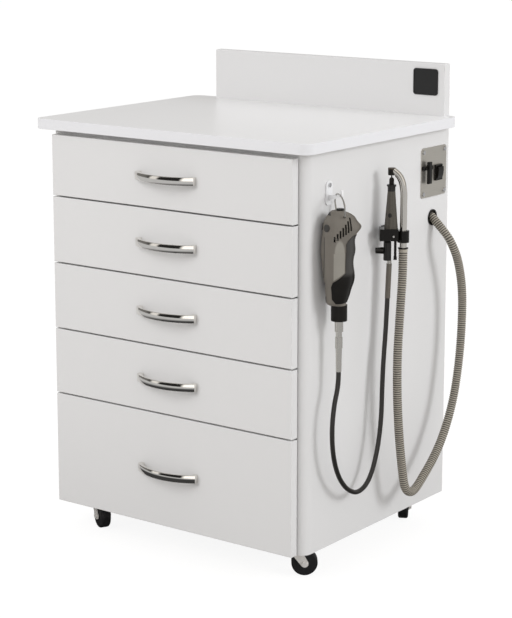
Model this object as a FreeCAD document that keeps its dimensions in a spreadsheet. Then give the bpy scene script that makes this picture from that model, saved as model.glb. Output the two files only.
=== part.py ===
"""Mobile clinic cabinet with five drawers, a suction hose and a hanging shaft-drive tool.

Every sub-part is drawn in the cabinet's own lay-out frame: x = 0 on the carcass's middle plane,
y = 0 on the outer face of the drawer fronts, z = 0 on the floor. One shift, bound in each
sub-part's placement, then sets the middle of the cabinet's base at the origin.
"""
import FreeCAD, Part
import math
import os
import re
import Sketcher
from FreeCAD import Rotation, Vector

# Driving sizes: lengths in millimetres, names with turn or swing in degrees.
SIZES = {
    # carcass
    "cabinet_width": 610,
    "cabinet_depth": 508,
    "side_thickness": 19,
    "side_corner_radius": 18,
    "board_thickness": 16,
    "rail_depth": 80,
    "back_thickness": 6,
    "divider_thickness": 12,
    "canister_room": 8.8,
    "drawer_rear_room": 16,
    "bore_clearance": 0.3,
    "cut_overrun": 1,
    # worktop and backsplash
    "worktop_height": 834,
    "worktop_thickness": 20,
    "worktop_side_overhang": 22,
    "worktop_front_overhang": 8,
    "worktop_corner_radius": 20,
    "edge_band_thickness": 1.5,
    "edge_softening": 1.5,
    "backsplash_height": 103,
    "backsplash_thickness": 19,
    "backsplash_setback": 45,
    "backsplash_let_in": 1.5,
    "badge_width": 56,
    "badge_height": 52,
    "badge_thickness": 2,
    "badge_corner_radius": 6,
    "badge_rim": 2,
    "badge_recess": 0.6,
    "badge_side_inset": 15,
    "badge_top_inset": 11,
    # drawer fronts and handles
    "front_thickness": 18,
    "front_stand_off": 2,
    "front_width": 575,
    "front_gap": 3,
    "top_reveal": 10,
    "top_front_height": 119,
    "middle_front_height": 129.5,
    "handle_length": 140,
    "handle_height": 16,
    "handle_reach": 30,
    "handle_thickness": 3.6,
    "handle_pad_height": 9,
    "handle_pad_width": 9,
    "handle_softening": 1.2,
    "handle_screw_spacing": 128,
    "handle_screw_radius": 2,
    "handle_screw_head_radius": 4.2,
    "handle_screw_head_height": 2.4,
    # drawer boxes and slides
    "drawer_lift": 24,
    "top_box_height": 80,
    "middle_box_height": 92,
    "bottom_box_height": 176,
    "box_side_thickness": 1.5,
    "box_bottom_thickness": 10,
    "box_rear_thickness": 12,
    "slide_space": 12.7,
    "slide_height": 45,
    "slide_wall": 1.2,
    "slide_gap": 0.3,
    "slide_setback": 2,
    "slide_lift": 34,
    # casters
    "caster_height": 62,
    "caster_side_inset": 61.5,
    "caster_front_inset": 71.5,
    "caster_rear_inset": 51.5,
    "caster_plate_length": 65,
    "caster_plate_width": 48,
    "caster_plate_thickness": 2.5,
    "caster_trail": 20,
    "caster_front_right_turn": 36.5,
    "caster_front_left_turn": -28.5,
    "caster_rear_right_turn": 119,
    "caster_rear_left_turn": 60,
    "wheel_radius": 25,
    "wheel_width": 20,
    "wheel_shoulder": 4,
    "hub_radius": 9,
    "hub_proud": 0.6,
    "axle_radius": 3,
    "axle_clearance": 0.05,
    "fork_wall": 2,
    "fork_side_gap": 1,
    "fork_foot_radius": 7.5,
    "fork_rear_reach": 12.6,
    "fork_front_reach": 12,
    "fork_rear_angle": 36.9,
    "fork_front_angle": 11.5,
    "crown_thickness": 2.5,
    "race_radius": 18,
    "race_height": 4.7,
    "kingpin_radius": 4,
    "kingpin_head_radius": 7,
    "kingpin_head_height": 1.5,
    "axle_nut_radius": 5.5,
    "axle_nut_thickness": 3.6,
    # wood screws
    "screw_radius": 2,
    "screw_head_radius": 4,
    "screw_head_height": 2,
    "screw_length": 13,
    "plate_screw_inset": 8,
    # service plate, switches and hose socket
    "service_y": 451.5,
    "service_z": 730,
    "service_width": 93,
    "service_height": 98,
    "service_thickness": 1.5,
    "service_corner_radius": 7,
    "service_hole_margin": 8,
    "lever_y": 423,
    "lever_pivot_height": 10,
    "lever_width": 10.5,
    "lever_height": 43,
    "lever_reach": 11,
    "lever_barrel_radius": 3.8,
    "lever_barrel_length": 26,
    "lever_pin_radius": 1.5,
    "lever_lug_thickness": 2,
    "lever_lug_lead": 2.25,
    "lever_body_width": 18,
    "rocker_y": 466,
    "rocker_drop": 3,
    "rocker_swing": 8,
    "rocker_pin_radius": 1.5,
    "rocker_pin_stand_off": 1.5,
    "rocker_bezel_width": 24,
    "rocker_bezel_height": 31,
    "rocker_bezel_reach": 4,
    "rocker_wall": 2.4,
    "rocker_half_height": 12,
    "rocker_dome": 6.5,
    "rocker_cavity_depth": 7,
    "switch_depth": 26,
    "grommet_y": 449.8,
    "grommet_z": 639,
    "grommet_flange_radius": 15.8,
    "grommet_flange_thickness": 2,
    "grommet_neck_radius": 14.7,
    "grommet_bore_radius": 13.2,
    "grommet_room_depth": 9,
    "grommet_neck_end": 6,
    "spigot_radius": 6.1,
    "spigot_bore_radius": 4.8,
    "spigot_length": 12,
    "spigot_root": 14,
    "spigot_bore_root": 7,
    # suction hose and unit
    "hose_radius": 8.5,
    "hose_root_radius": 7.6,
    "hose_bore_radius": 6.2,
    "hose_dip": 41.6,
    "hose_start_depth": 4,
    "hose_first_run": 50,
    "canister_radius": 45,
    "canister_height": 260,
    "motor_head_radius": 40,
    "motor_head_height": 90,
    "inlet_pipe_radius": 9,
    "inlet_pipe_wall": 1.5,
    "suction_unit_x": 225,
    "vent_slot_width": 60,
    "vent_slot_height": 4,
    "vent_slot_pitch": 10,
    "vent_z": 380,
    # tool hook
    "hook_y": 88.5,
    "hook_width": 20,
    "hook_top": 757,
    "hook_height": 44,
    "hook_thickness": 2.4,
    "hook_foot_radius": 6,
    "hook_reach": 30.5,
    "hook_arm_y": 89,
    "hook_arm_width": 6,
    # hanging tool
    "tool_stand_off": 31.2,
    "tool_y": 79.7,
    "tool_turn": -36.9,
    "tool_top": 707,
    "tool_collar_top": 533,
    "tool_collar_height": 29.5,
    "tool_collar_radius": 14.9,
    "tool_radius": 28.7,
    "tool_reach_share": 1.131,
    "tool_wall": 2.5,
    "tool_grip_thickness": 1.2,
    "tool_motor_radius": 16,
    "tool_motor_length": 91,
    "tool_nose_radius": 8,
    "tool_nose_length": 32,
    "dial_radius": 7,
    "dial_height": 3,
    "dial_stem_radius": 1.5,
    "dial_offset": 2.2,
    "dial_stem_length": 8,
    "brush_cap_radius": 6.7,
    "brush_cap_z": 677,
    "brush_cap_turn": -70,
    "vent_width": 3.4,
    "vent_height": 16.5,
    "vent_growth": 2.2,
    "vent_step": 5,
    "vent_rise": 4.4,
    "vent_middle_z": 671,
    "vent_middle_across": -2.5,
    "bail_wire_radius": 1.4,
    "bail_half_span": 24,
    "bail_pivot_z": 697,
    "bail_pivot_across": 1.7,
    "bail_lean": 0.5,
    "bail_end": 17.5,
    "coupling_radius": 7.8,
    "coupling_neck_radius": 5.8,
    "coupling_foot_radius": 6.9,
    "coupling_step": 20.5,
    "coupling_neck_height": 10.5,
    "sleeve_radius": 5.9,
    "sleeve_tip_radius": 5.2,
    "sleeve_length": 44.5,
    # flexible shaft
    "shaft_radius": 4.5,
    # handpiece and its clamp, in their own turned frame
    "holder_x": 335,
    "holder_y": 253.5,
    "holder_turn": 36.5,
    "clamp_top": 649,
    "clamp_height": 22.5,
    "clamp_left": 21.7,
    "clamp_right": 13,
    "clamp_half_depth": 16,
    "clip_drop": 4.6,
    "clip_wall": 4.5,
    "clamp_softening": 1.5,
    "clamp_foot_thickness": 3,
    "clamp_foot_shift": 12.5,
    "clamp_foot_width": 46,
    "clamp_foot_height": 22,
    "clamp_foot_screw_edge": 7,
    "clamp_foot_screw_pitch": 19,
    "clamp_stem_shift": 18.5,
    "clamp_stem_radius": 6,
    "clip_tail_across": 8.1,
    "clip_tail_forward": 5,
    "clip_tail_radius": 2.5,
    "clip_tail_length": 34,
    "clip_tail_bulb": 3.2,
    "clamp_screw_across": 4,
    "clamp_screw_z": 635,
    "clamp_screw_radius": 2,
    "handpiece_radius": 12.75,
    "handpiece_top_radius": 7.3,
    "handpiece_spigot_radius": 9,
    "handpiece_top": 719.3,
    "collar_height": 9,
    "ring_radius": 8.9,
    "ring_height": 3.2,
    "chuck_radius": 4.6,
    "chuck_height": 13,
    "chuck_cone": 3.5,
    "chuck_tip_radius": 2.8,
    "bur_radius": 1.2,
    "bur_length": 8,
    "rear_housing_across": 6.3,
    "rear_housing_radius": 7.35,
    "rear_housing_height": 39,
    "rear_housing_shoulder": 5,
    "rear_housing_neck_radius": 5,
    "ferrule_across": 2.6,
    "ferrule_radius": 4.2,
    "ferrule_length": 6,
    "relief_radius": 5.1,
    "relief_length": 66,
    "knob_radius": 6.6,
    "knob_tip_radius": 5.4,
    "knob_length": 15,
    "knob_z": 606,
    "knob_pin_radius": 2,
    "knob_pin_length": 5,
    "tube_across": 23.2,
    "tube_radius": 6.7,
    "tube_wall": 0.8,
    "tube_foot": 612,
    "nozzle_z": 756.5,
    "nozzle_radius": 7,
    "nozzle_height": 13.6,
    "nozzle_bore_radius": 4.5,
    "nozzle_wall": 1.6,
    "cuff_height": 5,
    "ear_radius": 9.6,
    "ear_width": 6,
    "ear_height": 2.6,
}

# Derived sizes and places, each a formula on the names above it.
PLACES = {
    "half_width": "cabinet_width / 2",
    "inner_half": "half_width - side_thickness",
    "worktop_half": "half_width + worktop_side_overhang",
    "tool_x": "half_width + tool_stand_off",
    "tool_reach": "tool_x + tool_radius * tool_reach_share",
    "middle_x": "(worktop_half - tool_reach) / 2",
    "front_y": "(handle_reach - cabinet_depth) / 2",
    "carcass_front": "front_thickness + front_stand_off",
    "back_inner": "cabinet_depth - back_thickness",
    "divider_rear": "grommet_y - canister_radius - canister_room",
    "drawer_depth": "divider_rear - divider_thickness - drawer_rear_room - front_thickness",
    "slide_length": "drawer_depth",
    "base": "caster_height",
    "floor_top": "base + board_thickness",
    "carcass_top": "worktop_height - worktop_thickness",
    "rail_bottom": "carcass_top - board_thickness",
    "backsplash_front": "cabinet_depth - backsplash_thickness",
    "backsplash_left": "backsplash_setback - half_width",
    "backsplash_top": "worktop_height + backsplash_height",
    "badge_x": "half_width - badge_side_inset - badge_width / 2",
    "badge_z": "backsplash_top - badge_top_inset - badge_height / 2",
    "front_half": "front_width / 2",
    "slide_front": "carcass_front + slide_setback",
    "box_half": "inner_half - slide_space",
    "box_inner_half": "box_half - box_side_thickness",
    "slide_half": "slide_height / 2",
    "middle_slide_half": "slide_half - slide_wall - slide_gap",
    "runner_half": "middle_slide_half - slide_wall - slide_gap",
    "middle_web_outer": "inner_half - slide_wall - slide_gap",
    "flange_inner": "inner_half - slide_space + slide_gap * 2",
    "front_1_top": "carcass_top - top_reveal",
    "front_1_bottom": "front_1_top - top_front_height",
    "plate_bottom": "base - caster_plate_thickness",
    "race_top": "plate_bottom - bore_clearance",
    "crown_top": "race_top - race_height",
    "crown_bottom": "crown_top - crown_thickness",
    "fork_half": "wheel_width / 2 + fork_side_gap",
    "fork_outer": "fork_half + fork_wall",
    "caster_x": "half_width - caster_side_inset",
    "caster_rear_y": "cabinet_depth - caster_rear_inset",
    "plate_face": "half_width + service_thickness",
    "lever_pivot_x": "plate_face + lever_barrel_radius + bore_clearance",
    "lever_pivot_z": "service_z + lever_pivot_height",
    "switch_back": "half_width - switch_depth",
    "service_y_low": "service_y - service_width / 2",
    "service_y_high": "service_y + service_width / 2",
    "service_z_low": "service_z - service_height / 2",
    "service_z_high": "service_z + service_height / 2",
    "grommet_face": "half_width + grommet_flange_thickness",
    "pipe_end": "inner_half - grommet_neck_end",
    "grommet_floor": "half_width - grommet_room_depth",
    "hose_start_x": "half_width - hose_start_depth",
    "hose_start_z": "grommet_z + (hose_start_depth + grommet_flange_thickness / 2) * tan(hose_dip * 1 deg)",
    "rocker_z": "service_z - rocker_drop",
    "rocker_pivot_x": "plate_face + rocker_pin_stand_off",
    "rocker_room_y": "rocker_bezel_width / 2 - rocker_wall",
    "rocker_room_z": "rocker_bezel_height / 2 - rocker_wall",
    "rocker_neck_y": "rocker_bezel_width / 2 - rocker_wall / 2",
    "rocker_neck_z": "rocker_bezel_height / 2 - rocker_wall / 2",
    "canister_top": "floor_top + canister_height",
    "motor_head_top": "canister_top + motor_head_height",
    "hook_bottom": "hook_top - hook_height",
    "tool_collar_bottom": "tool_collar_top - tool_collar_height",
    "coupling_2_top": "tool_collar_bottom - coupling_step - coupling_neck_height",
    "sleeve_top": "coupling_2_top - coupling_step",
    "sleeve_bottom": "sleeve_top - sleeve_length",
    "clamp_bottom": "clamp_top - clamp_height",
    "clamp_foot_z": "clamp_top - clamp_height / 2",
    "clamp_foot_low": "holder_y + clamp_foot_shift",
    "clamp_foot_high": "clamp_foot_low + clamp_foot_width",
    "shaft_end_x": "holder_x - ferrule_across * cos(holder_turn * 1 deg)",
    "shaft_end_y": "holder_y - ferrule_across * sin(holder_turn * 1 deg)",
    "tube_x": "holder_x + tube_across * cos(holder_turn * 1 deg)",
    "tube_y": "holder_y + tube_across * sin(holder_turn * 1 deg)",
    "clip_radius": "tube_radius + clip_wall",
    "clip_top": "clamp_top - clip_drop",
    "clip_bottom": "clamp_bottom - clip_drop",
    "collar_top": "handpiece_top + collar_height",
    "ring_top": "collar_top + ring_height",
    "chuck_bottom": "ring_top + bore_clearance",
    "chuck_top": "chuck_bottom + chuck_height",
    "rear_housing_bottom": "clamp_bottom - rear_housing_height",
    "ferrule_bottom": "rear_housing_bottom - ferrule_length",
    "hose_end_z": "tube_foot - cuff_height",
}

DRAWERS = (1, 2, 3, 4, 5)
BOX_HEIGHTS = ("top_box_height",) + ("middle_box_height",) * 3 + ("bottom_box_height",)
for i in DRAWERS:
    if i > 1:
        PLACES[f"front_{i}_top"] = f"front_{i - 1}_bottom - front_gap"
        drop = f"front_{i}_top - middle_front_height"
        PLACES[f"front_{i}_bottom"] = "base" if i == DRAWERS[-1] else drop
    PLACES[f"front_{i}_z"] = f"(front_{i}_top + front_{i}_bottom) / 2"
    PLACES[f"box_{i}_bottom"] = f"front_{i}_bottom + drawer_lift"
    PLACES[f"box_{i}_top"] = f"box_{i}_bottom + {BOX_HEIGHTS[i - 1]}"
    PLACES[f"slide_{i}_z"] = f"box_{i}_bottom + slide_lift"

# Casters: name, side of the middle plane, place from the front, turn about the kingpin.
CASTERS = (
    ("front_right", "caster_x", "caster_front_inset"),
    ("front_left", "-caster_x", "caster_front_inset"),
    ("rear_right", "caster_x", "caster_rear_y"),
    ("rear_left", "-caster_x", "caster_rear_y"),
)

# Routes of the two free hoses, in millimetres in the lay-out frame, between their two ends.
HOSE_ROUTE = (
    ("hose_start_x + hose_first_run * cos(hose_dip * 1 deg)", "grommet_y",
     "hose_start_z - hose_first_run * sin(hose_dip * 1 deg)"),
    (350, 457, 585),
    (354, 473, 552),
    (354, 491, 490),
    (354, 490, 410),
    (354, 481, 340),
    (354, 463, 272),
    (354, 430, 212),
    (354, 394, 172),
    (354, 355, 143.5),
    (354, 321, 121),
    (354, 300, 122.5),
    (354, 284, 137),
    (353.5, 276, 172),
    (353, 264, 240),
    (353, 255, 320),
    (353, 253, 400),
    (353, 259, 470),
    (353.5, 266, 545),
    (353.65, 267.3, 572),
)
SHAFT_ROUTE = (
    (331.5, 246, 459),
    (333, 236, 398),
    (334, 231, 340),
    (335, 228, 284),
    (335, 216, 224),
    (335, 190, 172),
    (335, 152, 156),
    (335, 114, 172),
    (335, 84, 204),
    (335.5, 65, 248),
    (336, 59, 300),
    (336.2, 66, 348),
    (336.2, 79.7, 382),
)
HOSE_RIBS = 200
# The suction tube's route above its straight foot, in the holder's own turned frame.
TUBE_ROUTE = (
    ("tube_across", "0", 716),
    (20.2, "0", 736),
    (13.5, "0", 749.5),
    (0, "0", 760),
)

doc = FreeCAD.newDocument("ClinicCabinet")
sheet = doc.addObject("Spreadsheet::Sheet", "Sizes")
for row, (alias, number) in enumerate(SIZES.items(), start=1):
    sheet.set(f"A{row}", str(number))
    sheet.setAlias(f"A{row}", alias)
doc.recompute()


def ex(text):
    """Write a formula with each name's owner before it, as the expression engine reads it."""
    def owned(match):
        word = match.group()
        if word in SIZES:
            return "Sizes." + word
        return "Places." + word if word in PLACES else word
    return re.sub(r"[a-z_][a-z0-9_]*", owned, str(text))


places = doc.addObject("App::VarSet", "Places")
for place_name, formula in PLACES.items():
    places.addProperty("App::PropertyFloat", place_name, "Places", "")
    places.setExpression(place_name, ex(formula))
doc.recompute()


def value(name):
    """Give a named size or place as a number."""
    return float(sheet.get(name)) if name in SIZES else float(getattr(places, name))


def bind(thing, **formulas):
    """Bind properties of an object to formulas."""
    for key, formula in formulas.items():
        thing.setExpression(key, ex(formula))
    return thing


def put(thing, at, turn=None):
    """Bind an object's place, and its turn about the vertical, to formulas."""
    if turn is not None:
        thing.Placement.Rotation = Rotation(Vector(0, 0, 1), 1)
        thing.setExpression("Placement.Rotation.Angle", ex(turn))
    for letter, formula in zip("xyz", at):
        thing.setExpression("Placement.Base." + letter, ex(formula))
    return thing


NODES = []


def node(thing, label, at=("0", "0", "0"), turn=None):
    """Name a finished sub-part and shift it from the lay-out frame to the part's origin."""
    thing.Label = label
    put(thing, (f"middle_x + ({at[0]})", f"front_y + ({at[1]})", at[2]), turn)
    NODES.append(thing)
    return thing


def box(x, y, z):
    """A block between pairs of formulas."""
    block = doc.addObject("Part::Box", "Block")
    bind(block, Length=f"({x[1]}) - ({x[0]})", Width=f"({y[1]}) - ({y[0]})", Height=f"({z[1]}) - ({z[0]})")
    return put(block, (x[0], y[0], z[0]))


AXIS_TURNS = {
    "x": Rotation(Vector(0, 1, 0), 90),
    "y": Rotation(Vector(1, 0, 0), -90),
    "z": Rotation(),
}


def along(axis, centre, low):
    """The corner of a round piece on an axis, from its centre across the axis and its low end."""
    at = list(centre)
    at.insert("xyz".index(axis), low)
    return at


def cylinder(axis, centre, span, radius):
    """A cylinder along x, y or z, between a pair of formulas."""
    rod = doc.addObject("Part::Cylinder", "Rod")
    rod.Placement.Rotation = AXIS_TURNS[axis]
    bind(rod, Radius=radius, Height=f"({span[1]}) - ({span[0]})")
    return put(rod, along(axis, centre, span[0]))


def cone(axis, centre, span, radius_low, radius_high):
    """A cone along x, y or z, between a pair of formulas."""
    taper = doc.addObject("Part::Cone", "Taper")
    taper.Placement.Rotation = AXIS_TURNS[axis]
    bind(taper, Radius1=radius_low, Radius2=radius_high, Height=f"({span[1]}) - ({span[0]})")
    return put(taper, along(axis, centre, span[0]))


def fuse(*shapes):
    """One solid from several."""
    union = doc.addObject("Part::MultiFuse", "Union")
    union.Shapes = list(shapes)
    union.Refine = True
    return union


def cut(base, *tools):
    """A solid less its holes."""
    rest = doc.addObject("Part::Cut", "Rest")
    rest.Base = base
    rest.Tool = tools[0] if len(tools) == 1 else fuse(*tools)
    return rest


def common(one, other):
    """What two solids share."""
    shared = doc.addObject("Part::MultiCommon", "Shared")
    shared.Shapes = [one, other]
    return shared


def group(*solids):
    """Separate solids of one node."""
    pack = doc.addObject("Part::Compound", "Group")
    pack.Links = list(solids)
    return pack


def fixed(shape, name="Formed"):
    """A shape that is built with numbers read from the sheet."""
    thing = doc.addObject("Part::Feature", name)
    thing.Shape = shape
    return thing


PLANE_NORMALS = {"XY_Plane": 1, "XZ_Plane": -1, "YZ_Plane": 1}
PLANE_FRAMES = {
    "XY_Plane": (Vector(1, 0, 0), Vector(0, 1, 0)),
    "XZ_Plane": (Vector(1, 0, 0), Vector(0, 0, 1)),
    "YZ_Plane": (Vector(0, 1, 0), Vector(0, 0, 1)),
}


def flat_sketch(body, plane, outline, low):
    """A closed outline of straight lines whose corners are bound to pairs of formulas."""
    sketch = body.newObject("Sketcher::SketchObject", "Outline")
    support = [part for part in body.Origin.OriginFeatures if part.Role == plane]
    sketch.AttachmentSupport = [(support[0], "")]
    sketch.MapMode = "FlatFace"
    bind(sketch, **{"AttachmentOffset.Base.z": f"{PLANE_NORMALS[plane]} * ({low})"})
    count = len(outline)
    step = [Vector(math.cos(2 * math.pi * k / count), math.sin(2 * math.pi * k / count), 0)
            for k in range(count)]
    for k in range(count):
        sketch.addGeometry(Part.LineSegment(step[k] * count, step[(k + 1) % count] * count))
    for k in range(count):
        sketch.addConstraint(Sketcher.Constraint("Coincident", k, 2, (k + 1) % count, 1))
    for k, corner in enumerate(outline):
        for kind, formula in zip(("DistanceX", "DistanceY"), corner):
            rule = sketch.addConstraint(Sketcher.Constraint(kind, -1, 1, k, 1, count + 1))
            sketch.setExpression(f"Constraints[{rule}]", ex(formula))
    return sketch


def pad(plane, outline, span):
    """A body padded from an outline along its plane's axis, between a pair of formulas."""
    body = doc.addObject("PartDesign::Body", "Body")
    sketch = flat_sketch(body, plane, outline, span[0])
    boss = body.newObject("PartDesign::Pad", "Pad")
    boss.Profile = sketch
    boss.Reversed = PLANE_NORMALS[plane] < 0
    bind(boss, Length=f"({span[1]}) - ({span[0]})")
    doc.recompute()
    return body


def soften(body, radius, chosen):
    """Round the edges of a body that a test on their two ends picks."""
    names = []
    last = body.Tip
    for number, edge in enumerate(last.Shape.Edges, start=1):
        ends = [vertex.Point for vertex in edge.Vertexes]
        if len(ends) == 2 and chosen(ends[0], ends[1]):
            names.append(f"Edge{number}")
    fillet = body.newObject("PartDesign::Fillet", "Rounding")
    fillet.Base = (last, names)
    bind(fillet, Radius=radius)
    doc.recompute()
    return body


def near(one, other):
    """Two lengths that are the same."""
    return abs(one - other) < value("bore_clearance") / 10


def at_corners(plane, corners):
    """A test for the edges that stand on given corners of an outline."""
    across, up = PLANE_FRAMES[plane]
    spots = [(value_of(a), value_of(b)) for a, b in corners]

    def chosen(start, end):
        for a, b in spots:
            if all(near(point.dot(across), a) and near(point.dot(up), b) for point in (start, end)):
                return True
        return False
    return chosen


def value_of(formula):
    """Give a formula as a number, through the document's own expression engine."""
    return float(sheet.evalExpression(ex(formula)))


def rectangle(x, y):
    """The four corners of a rectangle between pairs of formulas."""
    return ((x[0], y[0]), (x[1], y[0]), (x[1], y[1]), (x[0], y[1]))


def turned(plane, outline, axis_name="V_Axis"):
    """A body of revolution from a profile drawn beside an axis of its plane."""
    body = doc.addObject("PartDesign::Body", "Turned")
    sketch = flat_sketch(body, plane, outline, "0")
    spin = body.newObject("PartDesign::Revolution", "Spin")
    spin.Profile = sketch
    spin.ReferenceAxis = (sketch, [axis_name])
    spin.Angle = 360
    doc.recompute()
    return body


def screw(axis, centre, seat, direction, head_radius="screw_head_radius"):
    """A wood screw whose head sits on a seat and whose shank goes along plus or minus an axis."""
    head = (f"{seat} - {direction} * screw_head_height", seat)
    shank = (seat, f"{seat} + {direction} * screw_length")
    if direction < 0:
        head = head[::-1]
        shank = shank[::-1]
    return fuse(cylinder(axis, centre, head, head_radius), cylinder(axis, centre, shank, "screw_radius"))


def screw_hole(axis, centre, seat, direction):
    """The clearance hole for such a screw, from its seat to past its tip."""
    span = (f"{seat} - {direction} * cut_overrun", f"{seat} + {direction} * (screw_length + bore_clearance)")
    if direction < 0:
        span = span[::-1]
    return cylinder(axis, centre, span, "screw_radius + bore_clearance")


# Screw places shared by the boards, plates and screws.
CASTER_SCREWS = [
    (f"({x}) + {i} * (caster_plate_length / 2 - plate_screw_inset)",
     f"({y}) + {j} * (caster_plate_width / 2 - plate_screw_inset)")
    for _, x, y in CASTERS for i in (-1, 1) for j in (-1, 1)
]
SERVICE_SCREWS = [
    (f"{y} + {i} * plate_screw_inset", f"{z} + {j} * plate_screw_inset")
    for y, i in (("service_y_low", 1), ("service_y_high", -1))
    for z, j in (("service_z_low", 1), ("service_z_high", -1))
]
BACK_SCREWS = [(f"{i} * (inner_half - rail_depth)", z) for i in (-1, 0, 1)
               for z in ("base + board_thickness / 2", "carcass_top - board_thickness / 2")]
HOOK_SCREW = ("hook_y", "hook_top - plate_screw_inset")
CLAMP_SCREWS = [(f"clamp_foot_high - clamp_foot_screw_edge - {i} * clamp_foot_screw_pitch", "clamp_foot_z")
                for i in (0, 1)]


def make_sides():
    """The two side boards, each with its front outer edge well rounded."""
    boards = []
    for sign in (-1, 1):
        inner, outer = f"{sign} * inner_half", f"{sign} * half_width"
        x = (outer, inner) if sign < 0 else (inner, outer)
        outline = rectangle(x, ("carcass_front", "cabinet_depth"))
        board = pad("XY_Plane", outline, ("base", "carcass_top"))
        corner = [(outer, "carcass_front")]
        boards.append(soften(board, "side_corner_radius", at_corners("XY_Plane", corner)))
    node(boards[0], "left_side_panel")
    window = box(("inner_half - cut_overrun", "half_width + cut_overrun"),
                 ("service_y_low + service_hole_margin", "service_y_high - service_hole_margin"),
                 ("service_z_low + plate_screw_inset * 2", "service_z_high - plate_screw_inset * 2"))
    span = ("inner_half - cut_overrun", "half_width + cut_overrun")
    hose_hole = cylinder("x", ("grommet_y", "grommet_z"), span, "grommet_neck_radius + bore_clearance")
    places = SERVICE_SCREWS + [HOOK_SCREW] + CLAMP_SCREWS
    holes = [screw_hole("x", place, "half_width", -1) for place in places]
    node(cut(boards[1], window, hose_hole, *holes), "right_side_panel")


def make_boards():
    """Floor, rails, divider and back of the carcass."""
    width = ("-inner_half", "inner_half")
    floor = box(width, ("carcass_front", "back_inner"), ("base", "floor_top"))
    holes = [screw_hole("z", place, "base", 1) for place in CASTER_SCREWS]
    lower = [(x, z) for x, z in BACK_SCREWS if z.startswith("base")]
    upper = [(x, z) for x, z in BACK_SCREWS if z.startswith("carcass")]
    holes += [screw_hole("y", place, "back_inner", -1) for place in lower]
    node(cut(floor, *holes), "bottom_panel")
    top = ("rail_bottom", "carcass_top")
    front_rail = box(width, ("carcass_front", "carcass_front + rail_depth"), top)
    rear_rail = box(width, ("back_inner - rail_depth", "back_inner"), top)
    rear_rail = cut(rear_rail, *[screw_hole("y", place, "back_inner", -1) for place in upper])
    divider = box(width, ("divider_rear - divider_thickness", "divider_rear"), ("floor_top", "carcass_top"))
    node(group(front_rail, rear_rail, divider), "inner_boards")
    back = box(width, ("back_inner", "cabinet_depth"), ("base", "carcass_top"))
    through = ("back_inner - cut_overrun", "cabinet_depth + cut_overrun")
    slots = []
    for i in range(-2, 3):
        low = f"vent_z + {i} * vent_slot_pitch"
        half = "vent_slot_width / 2"
        x = (f"suction_unit_x - {half}", f"suction_unit_x + {half}")
        slots.append(box(x, through, (low, f"{low} + vent_slot_height")))
    holes = [cylinder("y", place, through, "screw_head_radius + bore_clearance") for place in BACK_SCREWS]
    node(cut(back, *slots, *holes), "back_panel")


def worktop_blank(inset):
    """A worktop-shaped board with round corners, drawn in by an inset."""
    x = (f"-worktop_half + {inset}", f"worktop_half - {inset}")
    y = (f"-worktop_front_overhang + {inset}", f"cabinet_depth - {inset}")
    outline = rectangle(x, y)
    blank = pad("XY_Plane", outline, ("carcass_top", "worktop_height"))
    return soften(blank, f"worktop_corner_radius - {inset}", at_corners("XY_Plane", outline))


def make_top():
    """Worktop, its edge band, the backsplash and the blank badge plate."""
    let_in = "worktop_height - backsplash_let_in"
    splash_x, splash_y = ("backsplash_left", "half_width"), ("backsplash_front", "cabinet_depth")
    rebate_z = (let_in, "worktop_height + cut_overrun")
    rebates = [box(splash_x, (splash_y[0], "cabinet_depth + cut_overrun"), rebate_z)
               for _ in range(2)]
    node(cut(worktop_blank("edge_band_thickness"), rebates[0]), "worktop")
    rim = worktop_blank("0")
    levels = [value("carcass_top"), value("worktop_height")]
    rim = soften(rim, "edge_softening / 2", lambda a, b: near(a.z, b.z) and any(near(a.z, z) for z in levels))
    node(cut(rim, worktop_blank("edge_band_thickness"), rebates[1]), "worktop_edge_band")
    splash = pad("XZ_Plane", rectangle(splash_x, (let_in, "backsplash_top")), splash_y)
    top = value("backsplash_top")
    splash = soften(splash, "edge_softening", lambda a, b: near(a.z, top) and near(b.z, top))
    node(splash, "backsplash")
    half = ("badge_width / 2", "badge_height / 2")
    outline = rectangle((f"badge_x - {half[0]}", f"badge_x + {half[0]}"),
                        (f"badge_z - {half[1]}", f"badge_z + {half[1]}"))
    plate = pad("XZ_Plane", outline, ("backsplash_front - badge_thickness", "backsplash_front"))
    plate = soften(plate, "badge_corner_radius", at_corners("XZ_Plane", outline))
    half = ("(badge_width / 2 - badge_rim)", "(badge_height / 2 - badge_rim)")
    field_outline = rectangle((f"badge_x - {half[0]}", f"badge_x + {half[0]}"),
                              (f"badge_z - {half[1]}", f"badge_z + {half[1]}"))
    field = pad("XZ_Plane", field_outline, ("backsplash_front - badge_thickness - cut_overrun",
                                            "backsplash_front - badge_thickness + badge_recess"))
    field = soften(field, "badge_corner_radius - badge_rim", at_corners("XZ_Plane", field_outline))
    node(cut(plate, field), "badge")


def channel(i, sign, web, web_wall, half):
    """A C-shaped slide member: a web on the cabinet's side and two flanges towards the drawer."""
    y = ("slide_front", "slide_front + slide_length")
    edge = f"{sign} * ({web})"
    face = f"{sign} * ({web} - {web_wall})"
    lip = f"{sign} * flange_inner"
    z = f"slide_{i}_z"
    order = (lambda a, b: (b, a)) if sign > 0 else (lambda a, b: (a, b))
    pieces = [box(order(edge, face), y, (f"{z} - {half}", f"{z} + {half}"))]
    for z_low, z_high in ((f"{z} - {half}", f"{z} - {half} + slide_wall"),
                          (f"{z} + {half} - slide_wall", f"{z} + {half}")):
        pieces.append(box(order(edge, lip), y, (z_low, z_high)))
    return fuse(*pieces)


def make_slides():
    """Side-mounted telescopic slides: outer members on the boards, middle members between."""
    outer = [channel(i, sign, "inner_half", "slide_wall", "slide_half") for i in DRAWERS for sign in (-1, 1)]
    node(group(*outer), "slide_outer_members")
    for i in DRAWERS:
        pair = [channel(i, sign, "middle_web_outer", "slide_wall", "middle_slide_half") for sign in (-1, 1)]
        node(group(*pair), f"slide_middle_{i}")


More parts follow.
